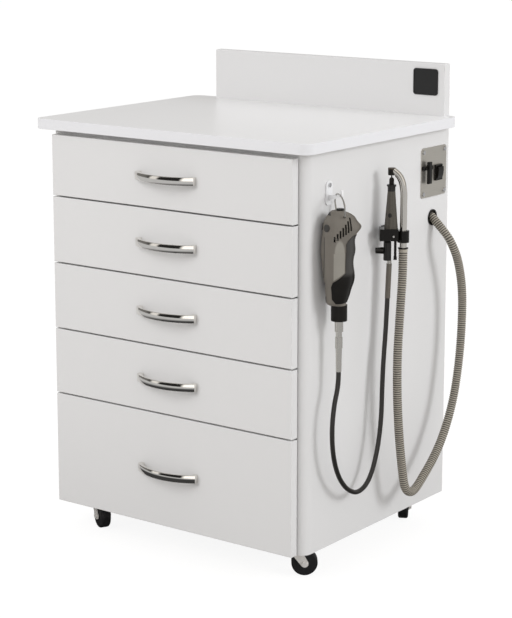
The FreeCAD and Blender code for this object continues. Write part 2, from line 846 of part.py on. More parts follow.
def drawer_side(i, sign):
    """A steel drawer side with the runner's two flanges on its outer face."""
    y = ("front_thickness", "front_thickness + drawer_depth")
    runner_y = ("slide_front", "slide_front + slide_length - slide_setback * 2")
    outer, inner = f"{sign} * box_half", f"{sign} * box_inner_half"
    lip = f"{sign} * (middle_web_outer - slide_wall - slide_gap * 2)"
    order = (lambda a, b: (a, b)) if sign > 0 else (lambda a, b: (b, a))
    z = f"slide_{i}_z"
    pieces = [box(order(inner, outer), y, (f"box_{i}_bottom", f"box_{i}_top"))]
    for z_low, z_high in ((f"{z} - runner_half", f"{z} - runner_half + slide_wall"),
                          (f"{z} + runner_half - slide_wall", f"{z} + runner_half")):
        pieces.append(box(order(outer, lip), runner_y, (z_low, z_high)))
    return fuse(*pieces)


def make_drawers():
    """Five drawers: front, box and bow handle."""
    for i in DRAWERS:
        face = rectangle(("-front_half", "front_half"), (f"front_{i}_bottom", f"front_{i}_top"))
        front = pad("XZ_Plane", face, ("0", "front_thickness"))
        front = soften(front, "edge_softening", lambda a, b: near(a.y, 0) and near(b.y, 0))
        z = f"front_{i}_z"
        through = ("-cut_overrun", "front_thickness + cut_overrun")
        places_x = [f"{sign} * handle_screw_spacing / 2" for sign in (-1, 1)]
        holes = [cylinder("y", (x, z), through, "handle_screw_radius + bore_clearance") for x in places_x]
        node(cut(front, *holes), f"drawer_front_{i}")
        y = ("front_thickness", "front_thickness + drawer_depth")
        inside = ("-box_inner_half", "box_inner_half")
        bottom_top = f"box_{i}_bottom + box_bottom_thickness"
        bottom = box(inside, y, (f"box_{i}_bottom", bottom_top))
        rear = box(inside, (f"{y[1]} - box_rear_thickness", y[1]), (bottom_top, f"box_{i}_top"))
        node(group(drawer_side(i, -1), drawer_side(i, 1), bottom, rear), f"drawer_box_{i}")
        node(handle(i), f"drawer_handle_{i}")


def bow(reach, half_length, start):
    """An arc in plan from one pad to the other, bowed out by a reach."""
    return Part.Arc(Vector(-half_length, -start, 0), Vector(0, -reach, 0), Vector(half_length, -start, 0))


def handle(i):
    """A bowed strap with two end pads, and the two screws that hold it from inside."""
    half, wall = value("handle_length") / 2, value("handle_thickness")
    start, reach = value("handle_pad_height"), value("handle_reach")
    outer = bow(reach, half, start)
    inner = bow(reach - wall, half - value("handle_pad_width"), start - wall / 2)
    corners = [Vector(x, y, 0) for x, y in (
        (half, -start), (half, 0), (half - value("handle_pad_width"), 0),
        (half - value("handle_pad_width"), wall / 2 - start))]
    right = Part.makePolygon(corners).Edges
    left = Part.makePolygon([Vector(-corner.x, corner.y, 0) for corner in corners]).Edges
    outline = Part.Wire(Part.__sortEdges__([outer.toShape(), inner.toShape()] + right + left))
    height = value("handle_height")
    strap = Part.Face(outline).extrude(Vector(0, 0, height))
    levels = (0, height)
    rims = [edge for edge in strap.Edges if all(any(near(v.Z, z) for z in levels) for v in edge.Vertexes)
            and near(edge.Vertexes[0].Z, edge.Vertexes[-1].Z)
            and all(v.Y < -start / 2 for v in edge.Vertexes)]
    strap = strap.makeFillet(value("handle_softening"), rims)
    strap.translate(Vector(0, 0, value(f"front_{i}_z") - height / 2))
    strap = fixed(strap, "Strap")
    z = f"front_{i}_z"
    holes, screws = [], []
    for sign in (-1, 1):
        x = f"{sign} * handle_screw_spacing / 2"
        tip = "-handle_pad_height / 2"
        holes.append(cylinder("y", (x, z), (tip, "cut_overrun"), "handle_screw_radius"))
        shank = cylinder("y", (x, z), (tip, "front_thickness"), "handle_screw_radius")
        head = cylinder("y", (x, z), ("front_thickness", "front_thickness + handle_screw_head_height"),
                        "handle_screw_head_radius")
        screws.append(fuse(shank, head))
    return group(cut(strap, *holes), *screws)


def make_casters():
    """Plates with kingpins, turning forks with their axles, and wheels."""
    plates = []
    for name, x, y in CASTERS:
        half = ("caster_plate_length / 2", "caster_plate_width / 2")
        outline = rectangle((f"{x} - {half[0]}", f"{x} + {half[0]}"),
                            (f"{y} - {half[1]}", f"{y} + {half[1]}"))
        plate = pad("XY_Plane", outline, ("plate_bottom", "base"))
        plate = soften(plate, "plate_screw_inset / 2", at_corners("XY_Plane", outline))
        near_holes = [place for place in CASTER_SCREWS
                      if place[0].startswith(f"({x})") and place[1].startswith(f"({y})")]
        span = ("plate_bottom - cut_overrun", "base + cut_overrun")
        bores = [cylinder("z", place, span, "screw_radius + bore_clearance") for place in near_holes]
        plate = cut(plate, *bores)
        head_top = "crown_bottom - bore_clearance"
        head = cylinder("z", (x, y), (f"{head_top} - kingpin_head_height", head_top), "kingpin_head_radius")
        pin = cylinder("z", (x, y), (f"{head_top} - kingpin_head_height", "plate_bottom"), "kingpin_radius")
        plates.append(fuse(plate, head, pin))
        turn = f"caster_{name}_turn"
        node(fork(), f"caster_fork_{name}", (x, y, "0"), turn)
        reach = (f"({x}) + caster_trail * cos({turn} * 1 deg)", f"({y}) + caster_trail * sin({turn} * 1 deg)",
                 "wheel_radius")
        node(wheel(), f"caster_wheel_{name}", reach, turn)
    node(group(*plates), "caster_plates")


def fork():
    """A pressed fork under its race, with the axle bolt through both legs."""
    crown = box(("-race_radius", "fork_front_reach"), ("-fork_outer", "fork_outer"),
                ("crown_bottom", "crown_top"))
    race = cylinder("z", ("0", "0"), ("crown_bottom", "race_top"), "race_radius")
    bore = cylinder("z", ("0", "0"), ("crown_bottom - cut_overrun", "race_top + cut_overrun"),
                    "kingpin_radius + axle_clearance")
    legs = []
    for sign in (-1, 1):
        span = ("fork_half", "fork_outer") if sign > 0 else ("-fork_outer", "-fork_half")
        foot = cylinder("y", ("caster_trail", "wheel_radius"), span, "fork_foot_radius")
        outline = (("-fork_rear_reach", "crown_top"),
                   ("caster_trail - fork_foot_radius * cos(fork_rear_angle * 1 deg)",
                    "wheel_radius - fork_foot_radius * sin(fork_rear_angle * 1 deg)"),
                   ("caster_trail + fork_foot_radius * cos(fork_front_angle * 1 deg)",
                    "wheel_radius + fork_foot_radius * sin(fork_front_angle * 1 deg)"),
                   ("fork_front_reach", "crown_top"))
        legs += [foot, pad("XZ_Plane", outline, span)]
    hole = cylinder("y", ("caster_trail", "wheel_radius"), ("-fork_outer - cut_overrun", "fork_outer + cut_overrun"),
                    "axle_radius")
    shell = cut(fuse(crown, race, *legs), bore, hole)
    half = "fork_outer + axle_nut_thickness"
    shaft = cylinder("y", ("caster_trail", "wheel_radius"), (f"-({half})", half), "axle_radius")
    nuts = []
    for low, high in (("fork_outer", half), (f"-({half})", "-fork_outer")):
        nut = doc.addObject("Part::Prism", "Nut")
        nut.Polygon = 6
        nut.Placement.Rotation = AXIS_TURNS["y"]
        bind(nut, Circumradius="axle_nut_radius", Height=f"({high}) - ({low})")
        nuts.append(put(nut, ("caster_trail", low, "wheel_radius")))
    return group(shell, fuse(shaft, *nuts))


def wheel():
    """A solid tyre with rounded shoulders and a hub that stands just proud of its faces."""
    face, proud = "wheel_width / 2", "wheel_width / 2 + hub_proud"
    bore = "axle_radius + axle_clearance"
    outline = ((bore, f"-({proud})"), ("hub_radius", f"-({proud})"), ("hub_radius", f"-({face})"),
               ("wheel_radius", f"-({face})"), ("wheel_radius", face), ("hub_radius", face),
               ("hub_radius", proud), (bore, proud))
    body = turned("XY_Plane", outline)
    rim = value("wheel_radius")
    half = value("wheel_width") / 2

    def is_rim(edge):
        point = edge.Vertexes[0].Point
        return near(math.hypot(point.x, point.z), rim) and near(abs(point.y), half) and len(edge.Vertexes) == 1
    names = [f"Edge{n}" for n, edge in enumerate(body.Tip.Shape.Edges, start=1) if is_rim(edge)]
    last = body.Tip
    fillet = body.newObject("PartDesign::Fillet", "Shoulder")
    fillet.Base = (last, names)
    bind(fillet, Radius="wheel_shoulder")
    doc.recompute()
    return body


def make_screws():
    """All wood screws, each head on its seat."""
    screws = [screw("z", place, "plate_bottom", 1) for place in CASTER_SCREWS]
    screws += [screw("x", place, "plate_face", -1) for place in SERVICE_SCREWS]
    screws += [screw("x", HOOK_SCREW, "half_width + hook_thickness", -1)]
    screws += [screw("x", place, "half_width + clamp_foot_thickness", -1) for place in CLAMP_SCREWS]
    screws += [screw("y", place, "cabinet_depth - back_thickness", -1) for place in BACK_SCREWS]
    node(group(*screws), "mounting_screws")


def make_service_panel():
    """Service plate, the two switches with their housings and pins, and the hose socket."""
    outline = rectangle(("service_y_low", "service_y_high"), ("service_z_low", "service_z_high"))
    plate = pad("YZ_Plane", outline, ("half_width", "plate_face"))
    plate = soften(plate, "service_corner_radius", at_corners("YZ_Plane", outline))
    through = ("half_width - cut_overrun", "plate_face + cut_overrun")
    holes = [cylinder("x", place, through, "screw_radius + bore_clearance") for place in SERVICE_SCREWS]
    half_y, half_z = "(rocker_neck_y + bore_clearance)", "(rocker_neck_z + bore_clearance)"
    holes.append(box(through, (f"rocker_y - {half_y}", f"rocker_y + {half_y}"),
                     (f"rocker_z - {half_z}", f"rocker_z + {half_z}")))
    node(cut(plate, *holes), "service_plate")
    half = "lever_body_width / 2"
    body = box(("switch_back", "half_width"), (f"lever_y - {half}", f"lever_y + {half}"),
               ("service_z - lever_height / 2", "service_z + lever_height / 2"))
    half = "(lever_barrel_length / 2 + bore_clearance)"
    end = f"({half} + lever_lug_thickness)"
    lug_z = ("lever_pivot_z - lever_barrel_radius", "lever_pivot_z + lever_barrel_radius")
    lug_x = ("plate_face", "lever_pivot_x + lever_lug_lead")
    lugs = [box(lug_x, (f"lever_y + {half}", f"lever_y + {end}"), lug_z),
            box(lug_x, (f"lever_y - {end}", f"lever_y - {half}"), lug_z)]
    pin = cylinder("y", ("lever_pivot_x", "lever_pivot_z"), (f"lever_y - {end}", f"lever_y + {end}"),
                   "lever_pin_radius")
    node(group(body, fuse(pin, *lugs), rocker_housing()), "switch_housings")
    node(lever(), "switch_lever")
    node(rocker(), "switch_rocker", ("rocker_pivot_x", "0", "rocker_z"))
    node(hose_socket(), "hose_grommet")


def slanted(root, length, radius):
    """A round bar along the hose's first run, from a length behind the hose's start."""
    rod = doc.addObject("Part::Cylinder", "Slanted")
    rod.Placement.Rotation = Rotation(Vector(0, 1, 0), 1)
    bind(rod, Radius=radius, Height=length, **{"Placement.Rotation.Angle": "90 + hose_dip"})
    return put(rod, (f"hose_start_x - {root} * cos(hose_dip * 1 deg)", "grommet_y",
                     f"hose_start_z + {root} * sin(hose_dip * 1 deg)"))


def hose_socket():
    """Flange and neck around the hose, and the sloping spigot that the hose is pushed onto."""
    centre = ("grommet_y", "grommet_z")
    flange = cylinder("x", centre, ("half_width", "grommet_face"), "grommet_flange_radius")
    neck = cylinder("x", centre, ("pipe_end", "half_width"), "grommet_neck_radius")
    room = cylinder("x", centre, ("grommet_floor", "grommet_face + cut_overrun"), "grommet_bore_radius")
    within = cylinder("x", centre, ("pipe_end", "grommet_face"), "grommet_bore_radius")
    shoulder = common(slanted("spigot_root", "spigot_root", "hose_radius"), within)
    spigot = slanted("spigot_bore_root", "spigot_bore_root + spigot_length", "spigot_radius")
    air_ways = [slanted("spigot_bore_root", "spigot_bore_root + spigot_length + cut_overrun", "spigot_bore_radius"),
                cylinder("x", centre, ("pipe_end - cut_overrun", "hose_start_x"), "spigot_bore_radius")]
    return cut(fuse(cut(fuse(flange, neck), room), shoulder, spigot), *air_ways)


def framed(x, half_y, half_z):
    """A block about the rocker switch's middle."""
    y = (f"rocker_y - {half_y}", f"rocker_y + {half_y}")
    return box(x, y, (f"rocker_z - {half_z}", f"rocker_z + {half_z}"))


def rocker_housing():
    """Bezel, neck and body of the rocker switch with the pin that its rocker turns on."""
    bezel = framed(("plate_face", "plate_face + rocker_bezel_reach"),
                   "rocker_bezel_width / 2", "rocker_bezel_height / 2")
    neck = framed(("switch_back", "plate_face"), "rocker_neck_y", "rocker_neck_z")
    room = framed(("half_width - rocker_cavity_depth", "plate_face + rocker_bezel_reach + cut_overrun"),
                  "rocker_room_y", "rocker_room_z")
    pin = cylinder("y", ("rocker_pivot_x", "rocker_z"), ("rocker_y - rocker_neck_y", "rocker_y + rocker_neck_y"),
                   "rocker_pin_radius")
    return fuse(cut(fuse(bezel, neck), room), pin)


# Half of the rocker's side outline from its foot up: shares of its dome and of its half height.
ROCKER_SHARES = ((-0.6, 0.7), (0, 1), (0.75, 1), (1, 0.45))


def rocker():
    """The rocker, drawn about its pin and tipped to the side that is pressed in."""
    lower = [(out, -up) for out, up in ROCKER_SHARES]
    shares = lower + list(ROCKER_SHARES[::-1])
    outline = [(f"rocker_dome * {out}", f"rocker_half_height * {up}") for out, up in shares]
    half = "(rocker_room_y - bore_clearance)"
    body = pad("XZ_Plane", outline, (f"rocker_y - {half}", f"rocker_y + {half}"))
    bore = cylinder("y", ("0", "0"), (f"rocker_y - {half} - cut_overrun", f"rocker_y + {half} + cut_overrun"),
                    "rocker_pin_radius + axle_clearance")
    tipped = group(cut(body, bore))
    tipped.Placement.Rotation = Rotation(Vector(0, 1, 0), 1)
    bind(tipped, **{"Placement.Rotation.Angle": "rocker_swing"})
    return group(tipped)


def lever():
    """The lever's arm, standing off the plate on its barrel."""
    x = ("lever_pivot_x + cut_overrun", "plate_face + lever_reach")
    half = "lever_width / 2"
    outline = rectangle(x, ("service_z - lever_height / 2 + cut_overrun",
                            "service_z + lever_height / 2 + cut_overrun"))
    arm = pad("XZ_Plane", outline, (f"lever_y - {half}", f"lever_y + {half}"))
    outer = value("plate_face") + value("lever_reach")
    arm = soften(arm, "edge_softening", lambda a, b: near(a.x, outer) and near(b.x, outer))
    barrel = cylinder("y", ("lever_pivot_x", "lever_pivot_z"),
                      ("lever_y - lever_barrel_length / 2", "lever_y + lever_barrel_length / 2"),
                      "lever_barrel_radius")
    bore = cylinder("y", ("lever_pivot_x", "lever_pivot_z"),
                    ("lever_y - lever_barrel_length", "lever_y + lever_barrel_length"),
                    "lever_pin_radius + axle_clearance")
    return cut(fuse(arm, barrel), bore)


def make_suction_unit():
    """The suction canister with its motor head, and the inlet pipe to the hose socket."""
    at = ("suction_unit_x", "grommet_y")
    canister = cylinder("z", at, ("floor_top", "canister_top"), "canister_radius")
    head = cylinder("z", at, ("canister_top", "motor_head_top"), "motor_head_radius")
    low, high = "motor_head_top", "grommet_z"
    rise = cylinder("z", at, (low, f"{high} + inlet_pipe_radius"), "inlet_pipe_radius")
    run = cylinder("x", ("grommet_y", "grommet_z"), ("suction_unit_x", "pipe_end"), "inlet_pipe_radius")
    inner = "inlet_pipe_radius - inlet_pipe_wall"
    rise_bore = cylinder("z", at, (low, high), inner)
    run_bore = cylinder("x", ("grommet_y", "grommet_z"), ("suction_unit_x", "pipe_end + cut_overrun"), inner)
    node(group(fuse(canister, head), cut(fuse(rise, run), rise_bore, run_bore)), "suction_unit")


# The hook's arm seen from the side: shares of its reach and of the hook's height.
HOOK_ARM_SHARES = ((0, 0.16), (0.25, 0.21), (0.82, 0.335), (1, 0.42),
                   (1, 0.65), (0.91, 0.65), (0.87, 0.41), (0, 0.41))


def make_hook():
    """The plastic hook that the hanging tool's bail rests on."""
    half = "hook_width / 2"
    outline = rectangle((f"hook_y - {half}", f"hook_y + {half}"), ("hook_bottom", "hook_top"))
    plate = pad("YZ_Plane", outline, ("half_width", "half_width + hook_thickness"))
    plate = soften(plate, f"{half} - bore_clearance", at_corners("YZ_Plane", outline[2:]))
    plate = soften(plate, "hook_foot_radius", at_corners("YZ_Plane", outline[:2]))
    outline = [(f"half_width + hook_reach * {out}", f"hook_bottom + hook_height * {up}")
               for out, up in HOOK_ARM_SHARES]
    arm = pad("XZ_Plane", outline, ("hook_arm_y - hook_arm_width / 2", "hook_arm_y + hook_arm_width / 2"))
    through = ("half_width - cut_overrun", "half_width + hook_reach")
    hole = cylinder("x", HOOK_SCREW, through, "screw_radius + bore_clearance")
    node(cut(fuse(plate, arm), hole), "tool_hook")


def bent_path(points):
    """Straight runs joined by tangent arcs: the wire, its edges and the arcs' radii."""
    edges, radii = [], []
    start = points[0]
    for before, corner, after in zip(points, points[1:], points[2:]):
        to_here, to_next = corner - before, after - corner
        half_turn = to_here.getAngle(to_next) / 2
        reach = 0.45 * min(to_here.Length, to_next.Length)
        radii.append(reach / math.tan(half_turn))
        into, out_of = Vector(to_here).normalize(), Vector(to_next).normalize()
        arc_start, arc_end = corner - into * reach, corner + out_of * reach
        bow_way = Vector(out_of - into).normalize()
        middle = corner + bow_way * (radii[-1] / math.cos(half_turn) - radii[-1])
        edges.append(Part.LineSegment(start, arc_start).toShape())
        edges.append(Part.Arc(arc_start, middle, arc_end).toShape())
        start = arc_end
    edges.append(Part.LineSegment(start, points[-1]).toShape())
    return Part.Wire(edges), radii


def swept(wire, start, radius):
    """A round bar along a wire."""
    direction = wire.Edges[0].tangentAt(wire.Edges[0].FirstParameter)
    profile = Part.Wire([Part.makeCircle(radius, start, direction)])
    return wire.makePipeShell([profile], True, False)


def stations(wire, distances):
    """Points along a wire with a cross axis that is carried along without twisting."""
    frames = []
    edges = wire.Edges
    axis = None
    run_start, number = 0, 0
    for distance in distances:
        while number < len(edges) - 1 and distance > run_start + edges[number].Length:
            run_start += edges[number].Length
            number += 1
        edge = edges[number]
        parameter = edge.getParameterByLength(min(distance - run_start, edge.Length))
        point, direction = edge.valueAt(parameter), edge.tangentAt(parameter)
        if axis is None:
            axis = direction.cross(Vector(0, 1, 0))
        axis = (axis - direction * axis.dot(direction)).normalize()
        frames.append((point, direction, axis))
    return frames


def ribbed(wire, crest, root, plain_end):
    """A hose wall with raised ribs from one plain end to the other."""
    length = wire.Length
    pitch = (length - 2 * plain_end) / HOSE_RIBS
    rib_shares = ((0.0, root), (0.2, crest), (0.65, crest), (0.85, root))
    distances, radii = [0], [crest]
    for rib in range(HOSE_RIBS):
        for share, radius in rib_shares:
            distances.append(plain_end + (rib + share) * pitch)
            radii.append(radius)
    distances.append(length)
    radii.append(crest)
    rings = []
    for (point, direction, axis), radius in zip(stations(wire, distances), radii):
        ring = Part.makeCircle(radius)
        ring.Placement = FreeCAD.Placement(point, Rotation(axis, direction.cross(axis), direction, "ZXY"))
        rings.append(Part.Wire([ring]))
    return Part.makeLoft(rings, True, True)


def report_route(name, solid, section, wire, radii):
    """Print a hose's length, its tightest bend and how its volume compares with its section."""
    print(f"{name}: length {wire.Length:.0f}, smallest bend radius {min(radii):.1f}, "
          f"volume over section x length {solid.Volume / (section * wire.Length):.4f}")


def vectors(points):
    """Vectors from triples of numbers or formulas."""
    return [Vector(*[value_of(part) for part in point]) for point in points]


def shaft_points():
    """The flexible shaft's route from the handpiece's ferrule to the sleeve under the tool."""
    start = ("shaft_end_x", "shaft_end_y", "ferrule_bottom - bore_clearance")
    return vectors([start, *SHAFT_ROUTE, ("tool_x", "tool_y", "sleeve_bottom")])


def make_hoses():
    """The ribbed suction hose and the flexible drive shaft."""
    start = ("hose_start_x", "grommet_y", "hose_start_z")
    points = vectors([start, *HOSE_ROUTE, ("tube_x", "tube_y", "hose_end_z")])
    wire, radii = bent_path(points)
    crest, root, bore = value("hose_radius"), value("hose_root_radius"), value("hose_bore_radius")
    wall = ribbed(wire, crest, root, 2 * crest)
    hose = wall.cut(swept(wire, points[0], bore))
    report_route("suction hose", wall, math.pi * (crest + root) ** 2 / 4, wire, radii)
    node(fixed(hose, "Hose"), "suction_hose")
    points = shaft_points()
    wire, radii = bent_path(points)
    radius = value("shaft_radius")
    shaft = swept(wire, points[0], radius)
    report_route("flexible shaft", shaft, math.pi * radius ** 2, wire, radii)
    node(fixed(shaft, "Shaft"), "flexible_shaft")


# The hanging tool's outline from the collar up: height, shift away from the cabinet's front,
# half width and half depth, each a share of the tool's height or of its radius.
TOOL_SHARES = (
    (0, -0.105, 0.560, 0.560),
    (0.034, -0.223, 0.627, 0.634),
    (0.080, -0.181, 0.697, 0.693),
    (0.167, -0.129, 0.801, 0.791),
    (0.230, -0.084, 0.871, 0.875),
    (0.310, -0.090, 0.935, 0.960),
    (0.385, -0.139, 0.923, 0.958),
    (0.523, -0.185, 0.941, 1.007),
    (0.690, -0.150, 0.941, 1.010),
    (0.764, -0.030, 0.958, 1.080),
    (0.825, 0.118, 0.958, 1.190),
    (0.862, 0.084, 0.906, 1.132),
    (0.914, 0.020, 0.777, 0.958),
    (0.964, -0.038, 0.592, 0.700),
    (1, -0.035, 0.314, 0.314),
)
# The grip's outline seen along the tool's seam: place across the tool and height, as such shares.
GRIP_SHARES = (
    (1.6, 0.765),
    (0.72, 0.74),
    (0.3, 0.705),
    (0.13, 0.665),
    (0.1, 0.364),
    (-0.22, 0.32),
    (-0.68, 0.26),
    (-0.74, 0.21),
    (-0.66, 0.075),
    (-0.45, 0.03),
    (1.6, 0.03),
)
TOOL_ARC_STEPS = 6
# The bail's corners between its two pivots: place along its span and height over the tool's top.
BAIL_CORNERS = ((24.5, 15), (4, 27), (-19, 28), (-31.5, 17))


def tool_half(side, growth, lift=0, drop=0):
    """Half of the tool's smooth outline, grown outward by a length, with its ends moved."""
    foot, height = value("tool_collar_top"), value("tool_top") - value("tool_collar_top")
    radius = value("tool_radius")
    rings = []
    last = len(TOOL_SHARES) - 1
    for number, (up, shift, half, depth) in enumerate(TOOL_SHARES):
        z = foot + up * height + (lift if number == last else 0) - (drop if number == 0 else 0)
        points = []
        for k in range(TOOL_ARC_STEPS + 1):
            angle = math.pi * (k / TOOL_ARC_STEPS - 0.5)
            points.append(Vector(side * (half * radius + growth) * math.cos(angle),
                                 shift * radius + (depth * radius + growth) * math.sin(angle), z))
        curve = Part.BSplineCurve()
        curve.interpolate(Points=points, InitialTangent=Vector(side, 0, 0), FinalTangent=Vector(-side, 0, 0))
        rings.append(Part.Wire([curve.toShape(), Part.makeLine(points[-1], points[0])]))
    return Part.makeLoft(rings, True, False)


def make_tool():
    """The hanging motor tool, built about its own vertical axis and then turned."""
    place = ("tool_x", "tool_y", "0")
    wall, radius = value("tool_wall"), value("tool_radius")
    foot = value("tool_collar_top")
    height = value("tool_top") - foot
    tall = 4 * radius
    halves, skins = [], []
    for side in (1, -1):
        outer = tool_half(side, 0)
        inner = tool_half(side, -wall, lift=-wall, drop=value("cut_overrun"))
        halves.append(fixed(outer.cut(inner), "Half"))
        skins.append(tool_half(side, value("tool_grip_thickness"), lift=-wall, drop=-wall / 2).cut(outer))
    openings = []
    for i in range(-3, 4):
        across = f"vent_middle_across + {i} * vent_step"
        z = f"vent_middle_z + {i} * vent_rise"
        half_height = f"(vent_height + {i} * vent_growth) / 2"
        openings.append(box(("-tool_radius * 2", "tool_radius * 2"),
                            (f"{across} - vent_width / 2", f"{across} + vent_width / 2"),
                            (f"{z} - {half_height}", f"{z} + {half_height}")))
    stem_span = ("tool_top - dial_stem_length", "tool_top + cut_overrun")
    openings.append(cylinder("z", ("dial_offset", "0"), stem_span, "dial_stem_radius + axle_clearance"))
    bail_span = ("-bail_half_span", "bail_half_span")
    openings.append(cylinder("x", ("bail_pivot_across", "bail_pivot_z"), bail_span,
                             "bail_wire_radius + bore_clearance"))
    openings = fuse(*openings)
    node(group(*[cut(half, openings) for half in halves]), "tool_shell", place, "tool_turn")
    corners = [Vector(-tall / 2, across * radius, foot + up * height) for across, up in GRIP_SHARES]
    patch = Part.Face(Part.makePolygon(corners + corners[:1])).extrude(Vector(tall, 0, 0))
    grip = skins[0].common(patch).fuse(skins[1].common(patch)).removeSplitter()
    caps = []
    for skin, turn in zip(skins, (value("brush_cap_turn"), 180 - value("brush_cap_turn"))):
        cap = Part.makeCylinder(value("brush_cap_radius"), tall, Vector(), Vector(1, 0, 0))
        cap.Placement = FreeCAD.Placement(Vector(0, 0, value("brush_cap_z")),
                                          Rotation(Vector(0, 0, 1), turn))
        caps.append(fixed(skin.common(cap), "BrushCap"))
    collar_low = cylinder("z", ("0", "0"), ("tool_collar_bottom", "tool_collar_top"), "tool_collar_radius")
    node(group(fixed(grip, "Grip"), collar_low, *caps), "tool_grip", place, "tool_turn")
    dial_at, dial_foot = ("dial_offset", "0"), "tool_top + bore_clearance"
    knob = cylinder("z", dial_at, (dial_foot, f"{dial_foot} + dial_height"), "dial_radius")
    stem = cylinder("z", dial_at, ("tool_top - dial_stem_length", dial_foot), "dial_stem_radius")
    node(fuse(knob, stem), "tool_speed_dial", place, "tool_turn")
    pivots = [(f"{sign} * {reach}", "bail_pivot_across", "bail_pivot_z")
              for sign, reach in ((1, "bail_end"), (1, "bail_half_span"),
                                  (-1, "bail_half_span"), (-1, "bail_end"))]
    corners = [(along_span, "bail_lean", f"tool_top + {up}") for along_span, up in BAIL_CORNERS]
    points = vectors(pivots[:2] + corners + pivots[2:])
    wire, _ = bent_path(points)
    node(fixed(swept(wire, points[0], value("bail_wire_radius")), "Bail"), "tool_bail", place, "tool_turn")
    node(group(drive_train(), ferrule_and_relief()), "tool_motor_and_couplings")


def drive_train():
    """The motor on its nose, the couplings under the tool's collar and the rubber sleeve below them."""
    motor_foot = "tool_collar_top + tool_nose_length"
    motor = cylinder("z", ("0", "0"), (motor_foot, f"{motor_foot} + tool_motor_length"), "tool_motor_radius")
    nose = cylinder("z", ("0", "0"), ("tool_collar_top", motor_foot), "tool_nose_radius")
    shoulder = "tool_collar_bottom - coupling_step"
    upper = cylinder("z", ("0", "0"), (shoulder, "tool_collar_bottom"), "coupling_radius")
    neck = cylinder("z", ("0", "0"), ("coupling_2_top", shoulder), "coupling_neck_radius")
    lower = cylinder("z", ("0", "0"), ("sleeve_top", "coupling_2_top"), "coupling_foot_radius")
    sleeve = cone("z", ("0", "0"), ("sleeve_bottom", "sleeve_top"), "sleeve_tip_radius", "sleeve_radius")
    return put(group(fuse(motor, nose), fuse(upper, neck, lower), sleeve), ("tool_x", "tool_y", "0"))


def ferrule_and_relief():
    """The ferrule under the handpiece and the sleeve that stiffens the shaft's first run."""
    ferrule = cylinder("z", ("shaft_end_x", "shaft_end_y"), ("ferrule_bottom", "rear_housing_bottom"),
                       "ferrule_radius")
    start, corner = shaft_points()[:2]
    way, length = corner - start, value("relief_length")
    outer = Part.makeCylinder(value("relief_radius"), length, start, way)
    bore = Part.makeCylinder(value("shaft_radius") + value("axle_clearance"), length, start, way)
    return group(ferrule, fixed(outer.cut(bore), "Relief"))


